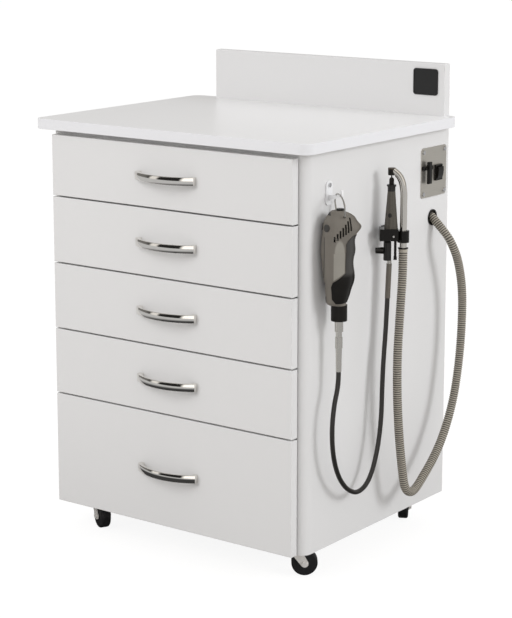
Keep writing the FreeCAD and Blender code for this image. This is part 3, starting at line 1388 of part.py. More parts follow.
def make_holder():
    """The clamp on the side board, the handpiece in it and the suction tube beside it."""
    place = ("holder_x", "holder_y", "0")
    outline = rectangle(("-clamp_left", "clamp_right"), ("-clamp_half_depth", "clamp_half_depth"))
    block = pad("XY_Plane", outline, ("clamp_bottom", "clamp_top"))
    block = soften(block, "clamp_softening", at_corners("XY_Plane", outline))
    clip = cylinder("z", ("tube_across", "0"), ("clip_bottom", "clip_top"), "clip_radius")
    tail_at = ("clip_tail_across", "-clip_tail_forward")
    tail_end = "clamp_bottom - clip_tail_length"
    tail = cylinder("z", tail_at, (tail_end, "clamp_bottom"), "clip_tail_radius")
    bulb = cylinder("z", tail_at, (f"{tail_end} - clip_tail_bulb", f"{tail_end} + clip_tail_bulb"),
                    "clip_tail_bulb")
    holes = [cylinder("z", ("0", "0"), ("clamp_bottom - cut_overrun", "clamp_top + cut_overrun"),
                      "handpiece_spigot_radius + axle_clearance"),
             cylinder("z", ("tube_across", "0"), ("clip_bottom - cut_overrun", "clip_top + cut_overrun"),
                      "tube_radius + axle_clearance"),
             cylinder("y", ("clamp_screw_across", "clamp_screw_z"),
                      ("-clamp_half_depth - cut_overrun", "-clamp_half_depth + clamp_screw_radius * 2"),
                      "clamp_screw_radius")]
    holder = put(cut(fuse(block, clip, tail, bulb), *holes), place, "holder_turn")
    half = "clamp_foot_height / 2"
    foot = box(("half_width", "half_width + clamp_foot_thickness"), ("clamp_foot_low", "clamp_foot_high"),
               (f"clamp_foot_z - {half}", f"clamp_foot_z + {half}"))
    stem = cylinder("x", ("holder_y + clamp_stem_shift", "clamp_foot_z"), ("half_width", "holder_x"),
                    "clamp_stem_radius")
    screw_span = ("half_width - cut_overrun", "half_width + clamp_foot_thickness + cut_overrun")
    screw_ways = [cylinder("x", at, screw_span, "screw_radius + bore_clearance") for at in CLAMP_SCREWS]
    node(fuse(holder, cut(fuse(foot, stem), *screw_ways)), "clamp_block")
    body = cone("z", ("0", "0"), ("clamp_top", "handpiece_top"), "handpiece_radius", "handpiece_top_radius")
    spigot = cylinder("z", ("0", "0"), ("clamp_bottom", "clamp_top"), "handpiece_spigot_radius")
    rear_at = ("-rear_housing_across", "0")
    shoulder = "clamp_bottom - rear_housing_shoulder"
    rear = fuse(cylinder("z", rear_at, ("rear_housing_bottom", shoulder), "rear_housing_radius"),
                cone("z", rear_at, (shoulder, "clamp_bottom"), "rear_housing_radius", "rear_housing_neck_radius"))
    knob_root = "(rear_housing_across + rear_housing_radius + bore_clearance)"
    pin_way = cylinder("x", ("0", "knob_z"),
                       (f"-{knob_root} - cut_overrun", f"-{knob_root} + knob_pin_length + bore_clearance"),
                       "knob_pin_radius + axle_clearance")
    collar = cylinder("z", ("0", "0"), ("handpiece_top", "collar_top"), "handpiece_top_radius")
    ring = cylinder("z", ("0", "0"), ("collar_top", "ring_top"), "ring_radius")
    bur_way = cylinder("z", ("0", "0"), ("ring_top - chuck_cone", "ring_top + cut_overrun"),
                       "bur_radius + axle_clearance")
    pieces = group(cut(fuse(body, spigot, rear), pin_way), cut(fuse(collar, ring), bur_way))
    node(pieces, "handpiece_body", place, "holder_turn")
    nut = cylinder("z", ("0", "0"), ("chuck_bottom", "chuck_top - chuck_cone"), "chuck_radius")
    nose = cone("z", ("0", "0"), ("chuck_top - chuck_cone", "chuck_top"), "chuck_radius", "chuck_tip_radius")
    bur = cylinder("z", ("0", "0"), ("ring_top - chuck_cone + bore_clearance", "chuck_top + bur_length"),
                   "bur_radius")
    node(fuse(nut, nose, bur), "handpiece_chuck", place, "holder_turn")
    grip = cone("x", ("0", "knob_z"), (f"-{knob_root} - knob_length", f"-{knob_root}"),
                "knob_tip_radius", "knob_radius")
    pin = cylinder("x", ("0", "knob_z"), (f"-{knob_root}", f"-{knob_root} + knob_pin_length"),
                   "knob_pin_radius")
    node(fuse(grip, pin), "clamp_knob", place, "holder_turn")
    make_suction_tube(place)


def make_suction_tube(place):
    """The polished tube beside the handpiece, its nozzle head and the cuff that the hose meets."""
    points = vectors((("tube_across", "0", "tube_foot"), *TUBE_ROUTE))
    wire, _ = bent_path(points)
    outer, inner = value("tube_radius"), value("tube_radius") - value("tube_wall")
    tube = fixed(swept(wire, points[0], outer).cut(swept(wire, points[0], inner)), "Tube")
    low, high = "nozzle_z - nozzle_height / 2", "nozzle_z + nozzle_height / 2"
    head_way = cylinder("z", ("0", "0"), (f"{low} - nozzle_height", f"{high} + nozzle_height"),
                        "nozzle_radius")
    node(cut(tube, head_way), "suction_tube", place, "holder_turn")
    nozzle = cylinder("z", ("0", "0"), (low, high), "nozzle_radius")
    mouth = cylinder("z", ("0", "0"), (f"{low} - cut_overrun", f"{high} - nozzle_wall"), "nozzle_bore_radius")
    foot_at = ("tube_across", "0")
    cuff = cylinder("z", foot_at, ("hose_end_z", "tube_foot"), "hose_radius")
    ear_z = ("tube_foot - ear_height", "tube_foot")
    ear_x = ("tube_across - ear_radius", "tube_across + ear_radius")
    ears = common(cylinder("z", foot_at, ear_z, "ear_radius"),
                  box(ear_x, ("-ear_width / 2", "ear_width / 2"), ear_z))
    bore = cylinder("z", foot_at, ("hose_end_z - cut_overrun", "tube_foot + cut_overrun"), "hose_bore_radius")
    node(group(cut(nozzle, mouth), cut(fuse(cuff, ears), bore)), "suction_fittings", place, "holder_turn")


make_sides()
make_boards()
make_top()
make_slides()
make_drawers()
make_casters()
make_screws()
make_service_panel()
make_suction_unit()
make_hook()
make_tool()
make_holder()
make_hoses()
doc.recompute()

for thing in doc.Objects:
    if "Invalid" in thing.State or "Error" in thing.State:
        raise RuntimeError(f"{thing.Label} did not compute: {thing.State}")
os.makedirs("parts", exist_ok=True)
for thing in NODES:
    if thing.Shape.isNull() or not thing.Shape.isValid():
        raise RuntimeError(f"{thing.Label} has no valid shape")
    thing.Shape.exportStep(f"parts/{thing.Label}.step")
print(len(NODES), "sub-parts written")
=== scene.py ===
"""Looks for a mobile clinic cabinet: finishes on its parts, two hanging hoses, and a plain studio."""
import bmesh
import bpy
import math
from bpy.props import FloatProperty, FloatVectorProperty, IntProperty, PointerProperty
from mathutils import Matrix, Vector


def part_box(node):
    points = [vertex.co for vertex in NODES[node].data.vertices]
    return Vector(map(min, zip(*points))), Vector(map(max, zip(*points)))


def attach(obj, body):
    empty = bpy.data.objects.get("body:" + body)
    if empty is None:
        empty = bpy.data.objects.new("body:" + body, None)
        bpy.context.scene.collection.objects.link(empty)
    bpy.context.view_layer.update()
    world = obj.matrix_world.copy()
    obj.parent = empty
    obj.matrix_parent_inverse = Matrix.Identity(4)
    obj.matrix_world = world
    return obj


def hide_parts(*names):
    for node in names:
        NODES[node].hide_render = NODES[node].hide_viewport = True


bl_info = {
    "name": "Clinic cabinet looks",
    "version": (1, 0, 0),
    "blender": (4, 5, 0),
    "location": "View3D > Sidebar > Cabinet",
    "description": "Finishes, hoses and studio for a mobile clinic cabinet",
    "category": "Object",
}

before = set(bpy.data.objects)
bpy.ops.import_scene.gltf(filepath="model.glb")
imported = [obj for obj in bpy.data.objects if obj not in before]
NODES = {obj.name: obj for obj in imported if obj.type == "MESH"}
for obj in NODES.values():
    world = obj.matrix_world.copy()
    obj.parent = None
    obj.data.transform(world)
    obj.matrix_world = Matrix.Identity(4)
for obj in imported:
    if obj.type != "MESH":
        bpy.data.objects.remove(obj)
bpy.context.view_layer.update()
MM = 0.001
HALF_WIDTH = 305
DRAWERS = (1, 2, 3, 4, 5)
CASTERS = ("front_right", "front_left", "rear_right", "rear_left")

# The lay-out frame has x = 0 on the carcass's middle plane and y = 0 on the drawer fronts' faces.
SHIFT = Vector((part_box("right_side_panel")[1].x - HALF_WIDTH * MM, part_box("drawer_front_1")[0].y, 0))


def at(x, y, z):
    """A point of the lay-out frame, in millimetres, as a point of the part's frame in metres."""
    return Vector((x, y, z)) * MM + SHIFT


# The hanging tool: its axis, the directions out of its wide side and across it, and where its grip
# changes to the firmer grey rubber. Its bare label panel lies between two edges across the tool,
# under an arch, and over a slanted edge that starts at the low corner. The near-black patches are
# painted shade in its slots, and the dark line of its seam; each is its place across, lowest, highest
# and width. The arch is an oval body with its place across and outwards and its half sizes. Places
# and sizes are in millimetres.
TOOL_AXIS = (336.2, 79.7)
TOOL_OUT = Vector((0.6, -0.8, 0))
TOOL_ACROSS = Vector((0.8, 0.6, 0))
GRIP_CHANGE = 592
LABEL_GREY = (0.26, 0.245, 0.215)
LABEL_EDGES = (-11.8, 8.4)
LABEL_TOP = 632
LABEL_LOW_CORNER = 596.4
LABEL_SLOPE = (-0.58, 0.81)
ARCH_PLACE = (-1.7, 22)
ARCH_REACH = (10.5, 10.5, 28)
SLOT_SHADE_AND_SEAM = (
    (-21.5, 699, 708, 9),
    (-27, 560, 576, 1.6),
    (-25, 538, 549, 2.4),
    (-28.5, 584, 660, 1.2),
)

# The handpiece in its clamp: its axis, how far its rear housing reaches up into the clamp, where
# its collar begins, and the clamp's directions. Each button is its place across, outwards and in
# height, and its radius.
HANDPIECE_AXIS = (335, 253.5)
HOUSING_REACH = 40
COLLAR_HEIGHT = 719.3
BUTTONS = (
    (-3.5, 11.2, 674.5, 4.2),
    (-11.2, 3, 676, 3.6),
)
HOLDER_ACROSS = Vector((math.cos(math.radians(36.5)), math.sin(math.radians(36.5)), 0))
HOLDER_OUT = Vector((HOLDER_ACROSS.y, -HOLDER_ACROSS.x, 0))

# The screw in the clamp's face: its height, its place across and outwards from the handpiece's
# axis, and its size.
SCREW_HEIGHT = 635
SCREW_ACROSS = 4
SCREW_OUT = 14.5
SCREW_RADIUS = 1.9
SCREW_LENGTH = 3.6

# The suction tube's fittings: the depth of the nozzle head's worn rim, and how far below the
# tube's end the hose's cuff begins.
RIM_DEPTH = 2.5
CUFF_GAP = 2.8

# Height of the crown on a handle's face, as a share of the handle's half height.
HANDLE_CROWN = 0.28

# Routes of the two hoses from end to end, in millimetres in the lay-out frame.
HOSE_ROUTE = (
    (301, 449.8, 643.44),
    (338.39, 449.8, 610.24),
    (350, 457, 585),
    (354, 473, 552),
    (354, 491, 490),
    (354, 490, 410),
    (354, 481, 340),
    (354, 463, 272),
    (354, 430, 212),
    (354, 394, 172),
    (354, 355, 143.5),
    (354, 321, 121),
    (354, 300, 122.5),
    (354, 284, 137),
    (353.5, 276, 172),
    (353, 264, 240),
    (353, 255, 320),
    (353, 253, 400),
    (353, 259, 470),
    (353.5, 266, 545),
    (353.65, 267.3, 572),
    (353.65, 267.3, 607),
)
SHAFT_ROUTE = (
    (332.91, 251.95, 581.2),
    (331.5, 246, 459),
    (333, 236, 398),
    (334, 231, 340),
    (335, 228, 284),
    (335, 216, 224),
    (335, 190, 172),
    (335, 152, 156),
    (335, 114, 172),
    (335, 84, 204),
    (335.5, 65, 248),
    (336, 59, 300),
    (336.2, 66, 348),
    (336.2, 79.7, 382),
    (336.2, 79.7, 407.5),
)

# One rib of the hose: place along its pitch and height over the groove, each a share. Then the
# sides of its round section, the length of its plain ends as a share of its radius, and the
# painted shade of its grooves: their colour as a share of the hose's colour.
RIB_SHAPE = ((0.0, 0.0), (0.34, 0.0), (0.42, 1.0), (0.92, 1.0))
HOSE_SIDES = 20
PLAIN_END = 0.2
PAINTED_GROOVE_SHADE = 0.26

# Shade that polished metal sees by compass direction: degrees from the front, towards the right.
STUDIO_CARDS = (
    (-180, 0.5),
    (-100, 0.2),
    (-66, 0.17),
    (-58, 0.05),
    (-52, 0.85),
    (-41, 0.85),
    (-36, 0.02),
    (4, 0.02),
    (11, 1.4),
    (40, 1.4),
    (50, 0.25),
    (64, 0.12),
    (78, 0.9),
    (110, 0.9),
    (128, 0.3),
    (180, 0.5),
)

# The photo's camera in the lay-out frame, with its lens in millimetres and its shift up or down.
CAMERA_PLACE = (2242.5, -2749.7, 1290.6)
CAMERA_TARGET = (14.95, 260, 574.89)
CAMERA_LENS = 111.94
CAMERA_SHIFT = -0.1

# The floor: its colour, how brightly it glows to the camera, and the share of that glow.
FLOOR_COLOUR = (0.56, 0.545, 0.525)
FLOOR_GLOW = 1.2
FLOOR_SHARE = 0.75

# Kinds of socket of the shared node groups.
FLOAT, COLOUR = "NodeSocketFloat", "NodeSocketColor"


class CabinetColours(bpy.types.PropertyGroup):
    """Base colours of the finishes."""
    board: FloatVectorProperty(name="Board", description="White laminate of the boards and fronts",
                               subtype="COLOR", size=3, default=(0.7, 0.695, 0.695), min=0, max=1)
    band: FloatVectorProperty(name="Edge band", description="Worktop's edge band",
                              subtype="COLOR", size=3, default=(0.75, 0.75, 0.77), min=0, max=1)
    hose: FloatVectorProperty(name="Hose", description="Ribbed suction hose",
                              subtype="COLOR", size=3, default=(0.41, 0.375, 0.315), min=0, max=1)
    tool: FloatVectorProperty(name="Tool body", description="Grey body of the hanging tool",
                              subtype="COLOR", size=3, default=(0.15, 0.135, 0.115), min=0, max=1)
    black: FloatVectorProperty(name="Black plastic", description="Clamp, switches, grip and knobs",
                               subtype="COLOR", size=3, default=(0.007, 0.006, 0.005), min=0, max=1)


class HoseSizes(bpy.types.PropertyGroup):
    """Sizes of the two hoses."""
    hose_radius: FloatProperty(name="Hose radius", description="Radius over the ribs", default=0.0085,
                               min=0.004, max=0.02, unit="LENGTH")
    root_radius: FloatProperty(name="Root radius", description="Radius between the ribs", default=0.0073,
                               min=0.003, max=0.02, unit="LENGTH")
    ribs: IntProperty(name="Ribs", description="Ribs from end to end", default=256, min=20, max=400)
    shaft_radius: FloatProperty(name="Shaft radius", description="Radius of the flexible drive shaft",
                                default=0.0045, min=0.002, max=0.01, unit="LENGTH")


# Small helpers for materials.

def link(tree, source, target):
    """Join two sockets."""
    tree.links.new(source, target)


def add(tree, kind, **settings):
    """A node with its settings and the values of its input sockets."""
    item = tree.nodes.new(kind)
    for key, setting in settings.items():
        if key in item.bl_rna.properties and key not in item.inputs:
            setattr(item, key, setting)
        else:
            item.inputs[key.replace("_", " ")].default_value = setting
    return item


def group_tree(name, inputs, outputs):
    """An empty shader node group with number and colour sockets."""
    tree = bpy.data.node_groups.new(name, "ShaderNodeTree")
    for label, kind, default in inputs:
        socket = tree.interface.new_socket(name=label, in_out="INPUT", socket_type=kind)
        socket.default_value = default
    for label, kind in outputs:
        tree.interface.new_socket(name=label, in_out="OUTPUT", socket_type=kind)
    return tree, tree.nodes.new("NodeGroupInput"), tree.nodes.new("NodeGroupOutput")


def mottle_group():
    """Slow and fine variation of colour, with a height for a fine bump."""
    inputs = [("Colour", COLOUR, (0.8, 0.8, 0.8, 1)), ("Spread", FLOAT, 0.05), ("Scale", FLOAT, 6.0),
              ("Fine scale", FLOAT, 900.0)]
    outputs = [("Colour", COLOUR), ("Height", FLOAT)]
    tree, source, sink = group_tree("mottle", inputs, outputs)
    coords = add(tree, "ShaderNodeTexCoord")
    slow = add(tree, "ShaderNodeTexNoise", Detail=4.0)
    fine = add(tree, "ShaderNodeTexNoise", Detail=2.0)
    link(tree, coords.outputs["Object"], slow.inputs["Vector"])
    link(tree, coords.outputs["Object"], fine.inputs["Vector"])
    link(tree, source.outputs["Scale"], slow.inputs["Scale"])
    link(tree, source.outputs["Fine scale"], fine.inputs["Scale"])
    centred = add(tree, "ShaderNodeMath", operation="SUBTRACT")
    centred.inputs[1].default_value = 0.5
    link(tree, slow.outputs["Fac"], centred.inputs[0])
    spread = add(tree, "ShaderNodeMath", operation="MULTIPLY_ADD")
    spread.inputs[2].default_value = 1.0
    link(tree, centred.outputs[0], spread.inputs[0])
    link(tree, source.outputs["Spread"], spread.inputs[1])
    scaled = add(tree, "ShaderNodeVectorMath", operation="SCALE")
    link(tree, source.outputs["Colour"], scaled.inputs[0])
    link(tree, spread.outputs[0], scaled.inputs["Scale"])
    link(tree, scaled.outputs[0], sink.inputs["Colour"])
    link(tree, fine.outputs["Fac"], sink.inputs["Height"])
    return tree


def brushed_group():
    """Fine parallel scratches along one axis, as on brushed or drawn metal."""
    inputs = [("Along X", FLOAT, 30.0), ("Along Y", FLOAT, 900.0), ("Along Z", FLOAT, 900.0)]
    tree, source, sink = group_tree("brushed", inputs, [("Height", FLOAT)])
    coords = add(tree, "ShaderNodeTexCoord")
    stretch = add(tree, "ShaderNodeVectorMath", operation="MULTIPLY")
    scale = add(tree, "ShaderNodeCombineXYZ")
    for letter in "XYZ":
        link(tree, source.outputs["Along " + letter], scale.inputs[letter])
    link(tree, coords.outputs["Object"], stretch.inputs[0])
    link(tree, scale.outputs[0], stretch.inputs[1])
    lines = add(tree, "ShaderNodeTexNoise", Scale=1.0, Detail=3.0)
    link(tree, stretch.outputs[0], lines.inputs["Vector"])
    link(tree, lines.outputs["Fac"], sink.inputs["Height"])
    return tree


GROUPS = {}


def use_group(tree, name, **values):
    """A node that uses one of the shared groups, with its own values."""
    if name not in GROUPS:
        GROUPS[name] = {"mottle": mottle_group, "brushed": brushed_group}[name]()
    item = tree.nodes.new("ShaderNodeGroup")
    item.node_tree = GROUPS[name]
    for key, setting in values.items():
        item.inputs[key.replace("_", " ")].default_value = setting
    return item


def bare_material(name):
    """A material with only a Principled shader and its output."""
    material = bpy.data.materials.new(name)
    material.use_nodes = True
    tree = material.node_tree
    tree.nodes.clear()
    shader = tree.nodes.new("ShaderNodeBsdfPrincipled")
    sink = tree.nodes.new("ShaderNodeOutputMaterial")
    link(tree, shader.outputs[0], sink.inputs["Surface"])
    return material, tree, shader


def set_shader(shader, roughness, metallic=0.0, specular=0.5):
    """The constants of a shader, on its own sockets."""
    shader.inputs["Roughness"].default_value = roughness
    shader.inputs["Metallic"].default_value = metallic
    shader.inputs["Specular IOR Level"].default_value = specular


def add_bump(tree, shader, height, strength, distance=0.0002):
    """A fine bump from a height."""
    bump = add(tree, "ShaderNodeBump", Strength=strength, Distance=distance)
    link(tree, height, bump.inputs["Height"])
    link(tree, bump.outputs["Normal"], shader.inputs["Normal"])


def mottled(name, colour, spread, roughness, scale=6.0, fine=900.0, bump=0.1, **shine):
    """A painted, laminated or moulded finish."""
    material, tree, shader = bare_material(name)
    set_shader(shader, roughness, **shine)
    look = use_group(tree, "mottle", Colour=(*colour, 1), Spread=spread, Scale=scale, Fine_scale=fine)
    link(tree, look.outputs["Colour"], shader.inputs["Base Color"])
    add_bump(tree, shader, look.outputs["Height"], bump)
    return material


def brushed(name, colour, roughness, along="X", line=25.0, fine=1100.0, bump=0.15, spread=0.18):
    """A metal with fine scratches along one axis."""
    material, tree, shader = bare_material(name)
    set_shader(shader, roughness, metallic=1.0)
    scales = {f"Along_{letter}": line if letter == along else fine for letter in "XYZ"}
    lines = use_group(tree, "brushed", **scales)
    shade = add(tree, "ShaderNodeMapRange", To_Min=1 - spread, To_Max=1 + spread / 2)
    link(tree, lines.outputs["Height"], shade.inputs["Value"])
    tint = add(tree, "ShaderNodeVectorMath", operation="SCALE")
    tint.inputs[0].default_value = colour
    link(tree, shade.outputs[0], tint.inputs["Scale"])
    link(tree, tint.outputs[0], shader.inputs["Base Color"])
    add_bump(tree, shader, lines.outputs["Height"], bump, 0.00005)
    return material


def place_along(tree, direction):
    """How far a point of the object lies along a direction, in metres."""
    coords = add(tree, "ShaderNodeTexCoord")
    along = add(tree, "ShaderNodeVectorMath", operation="DOT_PRODUCT")
    along.inputs[1].default_value = direction
    link(tree, coords.outputs["Object"], along.inputs[0])
    return along.outputs["Value"]


def step_mask(tree, direction, limit, soft=0.0003):
    """One beyond a plane and zero before it, with a soft edge."""
    edge = add(tree, "ShaderNodeMapRange", From_Min=limit - soft, From_Max=limit + soft)
    link(tree, place_along(tree, direction), edge.inputs["Value"])
    return edge.outputs[0]


def all_of(tree, masks):
    """The common part of several masks."""
    joined = masks[0]
    for mask in masks[1:]:
        least = add(tree, "ShaderNodeMath", operation="MINIMUM")
        link(tree, joined, least.inputs[0])
        link(tree, mask, least.inputs[1])
        joined = least.outputs[0]
    return joined


def oval_mask(tree, centre, reach):
    """One inside an oval body around a point, with its half sizes along the three axes."""
    coords = add(tree, "ShaderNodeTexCoord")
    away = add(tree, "ShaderNodeVectorMath", operation="SUBTRACT")
    away.inputs[1].default_value = centre
    scaled = add(tree, "ShaderNodeVectorMath", operation="DIVIDE")
    scaled.inputs[1].default_value = reach
    length = add(tree, "ShaderNodeVectorMath", operation="LENGTH")
    edge = add(tree, "ShaderNodeMapRange", From_Min=1.08, From_Max=0.92)
    link(tree, coords.outputs["Object"], away.inputs[0])
    link(tree, away.outputs[0], scaled.inputs[0])
    link(tree, scaled.outputs[0], length.inputs[0])
    link(tree, length.outputs["Value"], edge.inputs["Value"])
    return edge.outputs[0]


def recolour(tree, shader, mask, colour, metallic=None, roughness=None):
    """Give the masked zone of a finish another colour, and another shine where one is named."""
    present = shader.inputs["Base Color"].links[0].from_socket
    mix = add(tree, "ShaderNodeMix", data_type="RGBA")
    wanted = next(socket for socket in mix.inputs if socket.name == "B" and socket.type == "RGBA")
    before = next(socket for socket in mix.inputs if socket.name == "A" and socket.type == "RGBA")
    after = next(socket for socket in mix.outputs if socket.type == "RGBA")
    wanted.default_value = (*colour, 1)
    link(tree, mask, mix.inputs[0])
    link(tree, present, before)
    link(tree, after, shader.inputs["Base Color"])
    for label, setting in (("Metallic", metallic), ("Roughness", roughness)):
        if setting is None:
            continue
        blend = add(tree, "ShaderNodeMapRange", To_Max=setting)
        links = shader.inputs[label].links
        if links:
            link(tree, links[0].from_socket, blend.inputs["To Min"])
        else:
            blend.inputs["To Min"].default_value = shader.inputs[label].default_value
        link(tree, mask, blend.inputs["Value"])
        link(tree, blend.outputs[0], shader.inputs[label])


def parts_of(material):
    """The node tree of a finish and its Principled shader."""
    tree = material.node_tree
    return tree, next(item for item in tree.nodes if item.bl_idname == "ShaderNodeBsdfPrincipled")


def dress(name, material):
    """Give a CAD node its finish."""
    slots = NODES[name].data.materials
    slots.clear()
    slots.append(material)


def finished(name, mesh_maker, material):
    """A new smooth piece from a bmesh, with its finish, riding on the cabinet."""
    mesh = bpy.data.meshes.new(name)
    work = bmesh.new()
    mesh_maker(work)
    work.to_mesh(mesh)
    work.free()
    mesh.shade_smooth()
    mesh.materials.append(material)
    piece = bpy.data.objects.new(name, mesh)
    bpy.context.scene.collection.objects.link(piece)
    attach(piece, "cabinet")
    return piece


def route_spline(name, route):
    """A NURBS curve with the route's points as its control points."""
    curve = bpy.data.curves.new(name, "CURVE")
    curve.dimensions = "3D"
    curve.resolution_u = 12
    spline = curve.splines.new("NURBS")
    spline.points.add(len(route) - 1)
    for point, place in zip(spline.points, route):
        point.co = (*at(*place), 1)
    spline.order_u = 3
    spline.use_endpoint_u = True
    piece = bpy.data.objects.new(name, curve)
    bpy.context.scene.collection.objects.link(piece)
    return piece


def spline_points(piece):
    """The points along a curve that has no bevel."""
    bpy.context.view_layer.update()
    mesh = bpy.data.meshes.new_from_object(piece)
    points = [vertex.co.copy() for vertex in mesh.vertices]
    bpy.data.meshes.remove(mesh)
    return points


def walk(points, distances):
    """Places along a line of points, each with its direction, at given lengths."""
    found = []
    number, passed = 0, 0.0
    for distance in distances:
        while number < len(points) - 2 and passed + (points[number + 1] - points[number]).length < distance:
            passed += (points[number + 1] - points[number]).length
            number += 1
        run = points[number + 1] - points[number]
        found.append((points[number] + run.normalized() * (distance - passed), run.normalized()))
    return found


def line_length(points):
    """Length of a line of points."""
    return sum((b - a).length for a, b in zip(points, points[1:]))


class CLINIC_OT_boards(bpy.types.Operator):
    """Finish the carcass, worktop, backsplash and drawer fronts"""
    bl_idname = "clinic.boards"
    bl_label = "Boards"

    def execute(self, context):
        colours = context.scene.cabinet_colours
        board = mottled("white_laminate", colours.board, 0.03, 0.32, scale=3.0, fine=1400.0, bump=0.04)
        band = mottled("edge_band", colours.band, 0.02, 0.28, fine=1500.0, bump=0.03)
        for name in ("left_side_panel", "right_side_panel", "bottom_panel", "back_panel", "inner_boards",
                     "backsplash"):
            dress(name, board)
        dress("worktop", mottled("worktop_laminate", [1.13 * shade for shade in colours.board], 0.02, 0.3,
                                 scale=4.0, fine=1800.0, bump=0.05))
        for i in DRAWERS:
            dress(f"drawer_front_{i}", board)
        dress("worktop_edge_band", band)
        badge = mottled("badge_black", (0.01, 0.01, 0.01), 0.2, 0.3, bump=0.03)
        dress("badge", badge)
        return {"FINISHED"}


class CLINIC_OT_drawers(bpy.types.Operator):
    """Finish the drawer boxes, slides and bow handles"""
    bl_idname = "clinic.drawers"
    bl_label = "Drawers"

    def execute(self, context):
        box_grey = mottled("drawer_box_grey", (0.5, 0.51, 0.52), 0.06, 0.4, bump=0.08)
        zinc = brushed("zinc_steel", (0.62, 0.63, 0.65), 0.32, along="Y")
        for i in DRAWERS:
            dress(f"drawer_box_{i}", box_grey)
            dress(f"slide_middle_{i}", zinc)
            dress(f"drawer_handle_{i}", self.chrome(i))
        dress("slide_outer_members", zinc)
        dress("mounting_screws", brushed("screw_steel", (0.66, 0.66, 0.67), 0.25, along="Z"))
        return {"FINISHED"}

    def chrome(self, i):
        """Polished chrome whose face is slightly crowned from its lower to its upper edge."""
        material, tree, shader = bare_material(f"handle_chrome_{i}")
        set_shader(shader, 0.06, metallic=1.0)
        low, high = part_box(f"drawer_handle_{i}")
        half = (high.z - low.z) / 2
        tint = use_group(tree, "mottle", Colour=(0.82, 0.8, 0.77, 1), Spread=0.15, Scale=90.0)
        link(tree, tint.outputs["Colour"], shader.inputs["Base Color"])
        share = add(tree, "ShaderNodeMapRange", From_Min=low.z, From_Max=high.z, To_Min=-1.0, To_Max=1.0)
        link(tree, place_along(tree, (0, 0, 1)), share.inputs["Value"])
        crown = add(tree, "ShaderNodeMath", operation="MULTIPLY")
        link(tree, share.outputs[0], crown.inputs[0])
        link(tree, share.outputs[0], crown.inputs[1])
        bump = add(tree, "ShaderNodeBump", Strength=1.0, Distance=half * HANDLE_CROWN)
        bump.invert = True
        link(tree, crown.outputs[0], bump.inputs["Height"])
        link(tree, bump.outputs["Normal"], shader.inputs["Normal"])
        return material


class CLINIC_OT_casters(bpy.types.Operator):
    """Finish the swivel casters"""
    bl_idname = "clinic.casters"
    bl_label = "Casters"

    def execute(self, context):
        tyre = mottled("caster_tyre", (0.012, 0.012, 0.013), 0.5, 0.45, scale=60.0, fine=1500.0, bump=0.2)
        fork = mottled("caster_zinc", (0.86, 0.84, 0.81), 0.3, 0.35, scale=70.0, metallic=0.25)
        for name in CASTERS:
            dress(f"caster_wheel_{name}", tyre)
            dress(f"caster_fork_{name}", fork)
        dress("caster_plates", fork)
        return {"FINISHED"}


class CLINIC_OT_service(bpy.types.Operator):
    """Finish the service plate, its switches and the hose socket"""
    bl_idname = "clinic.service"
    bl_label = "Service plate"

    def execute(self, context):
        colours = context.scene.cabinet_colours
        stainless = brushed("brushed_stainless", (0.72, 0.69, 0.63), 0.42, along="Y", fine=1600.0)
        dress("service_plate", stainless)
        switch = mottled("switch_black", colours.black, 0.4, 0.3, specular=0.25, bump=0.05)
        for name in ("switch_housings", "switch_lever", "switch_rocker", "hose_grommet", "suction_unit"):
            dress(name, switch)
        return {"FINISHED"}


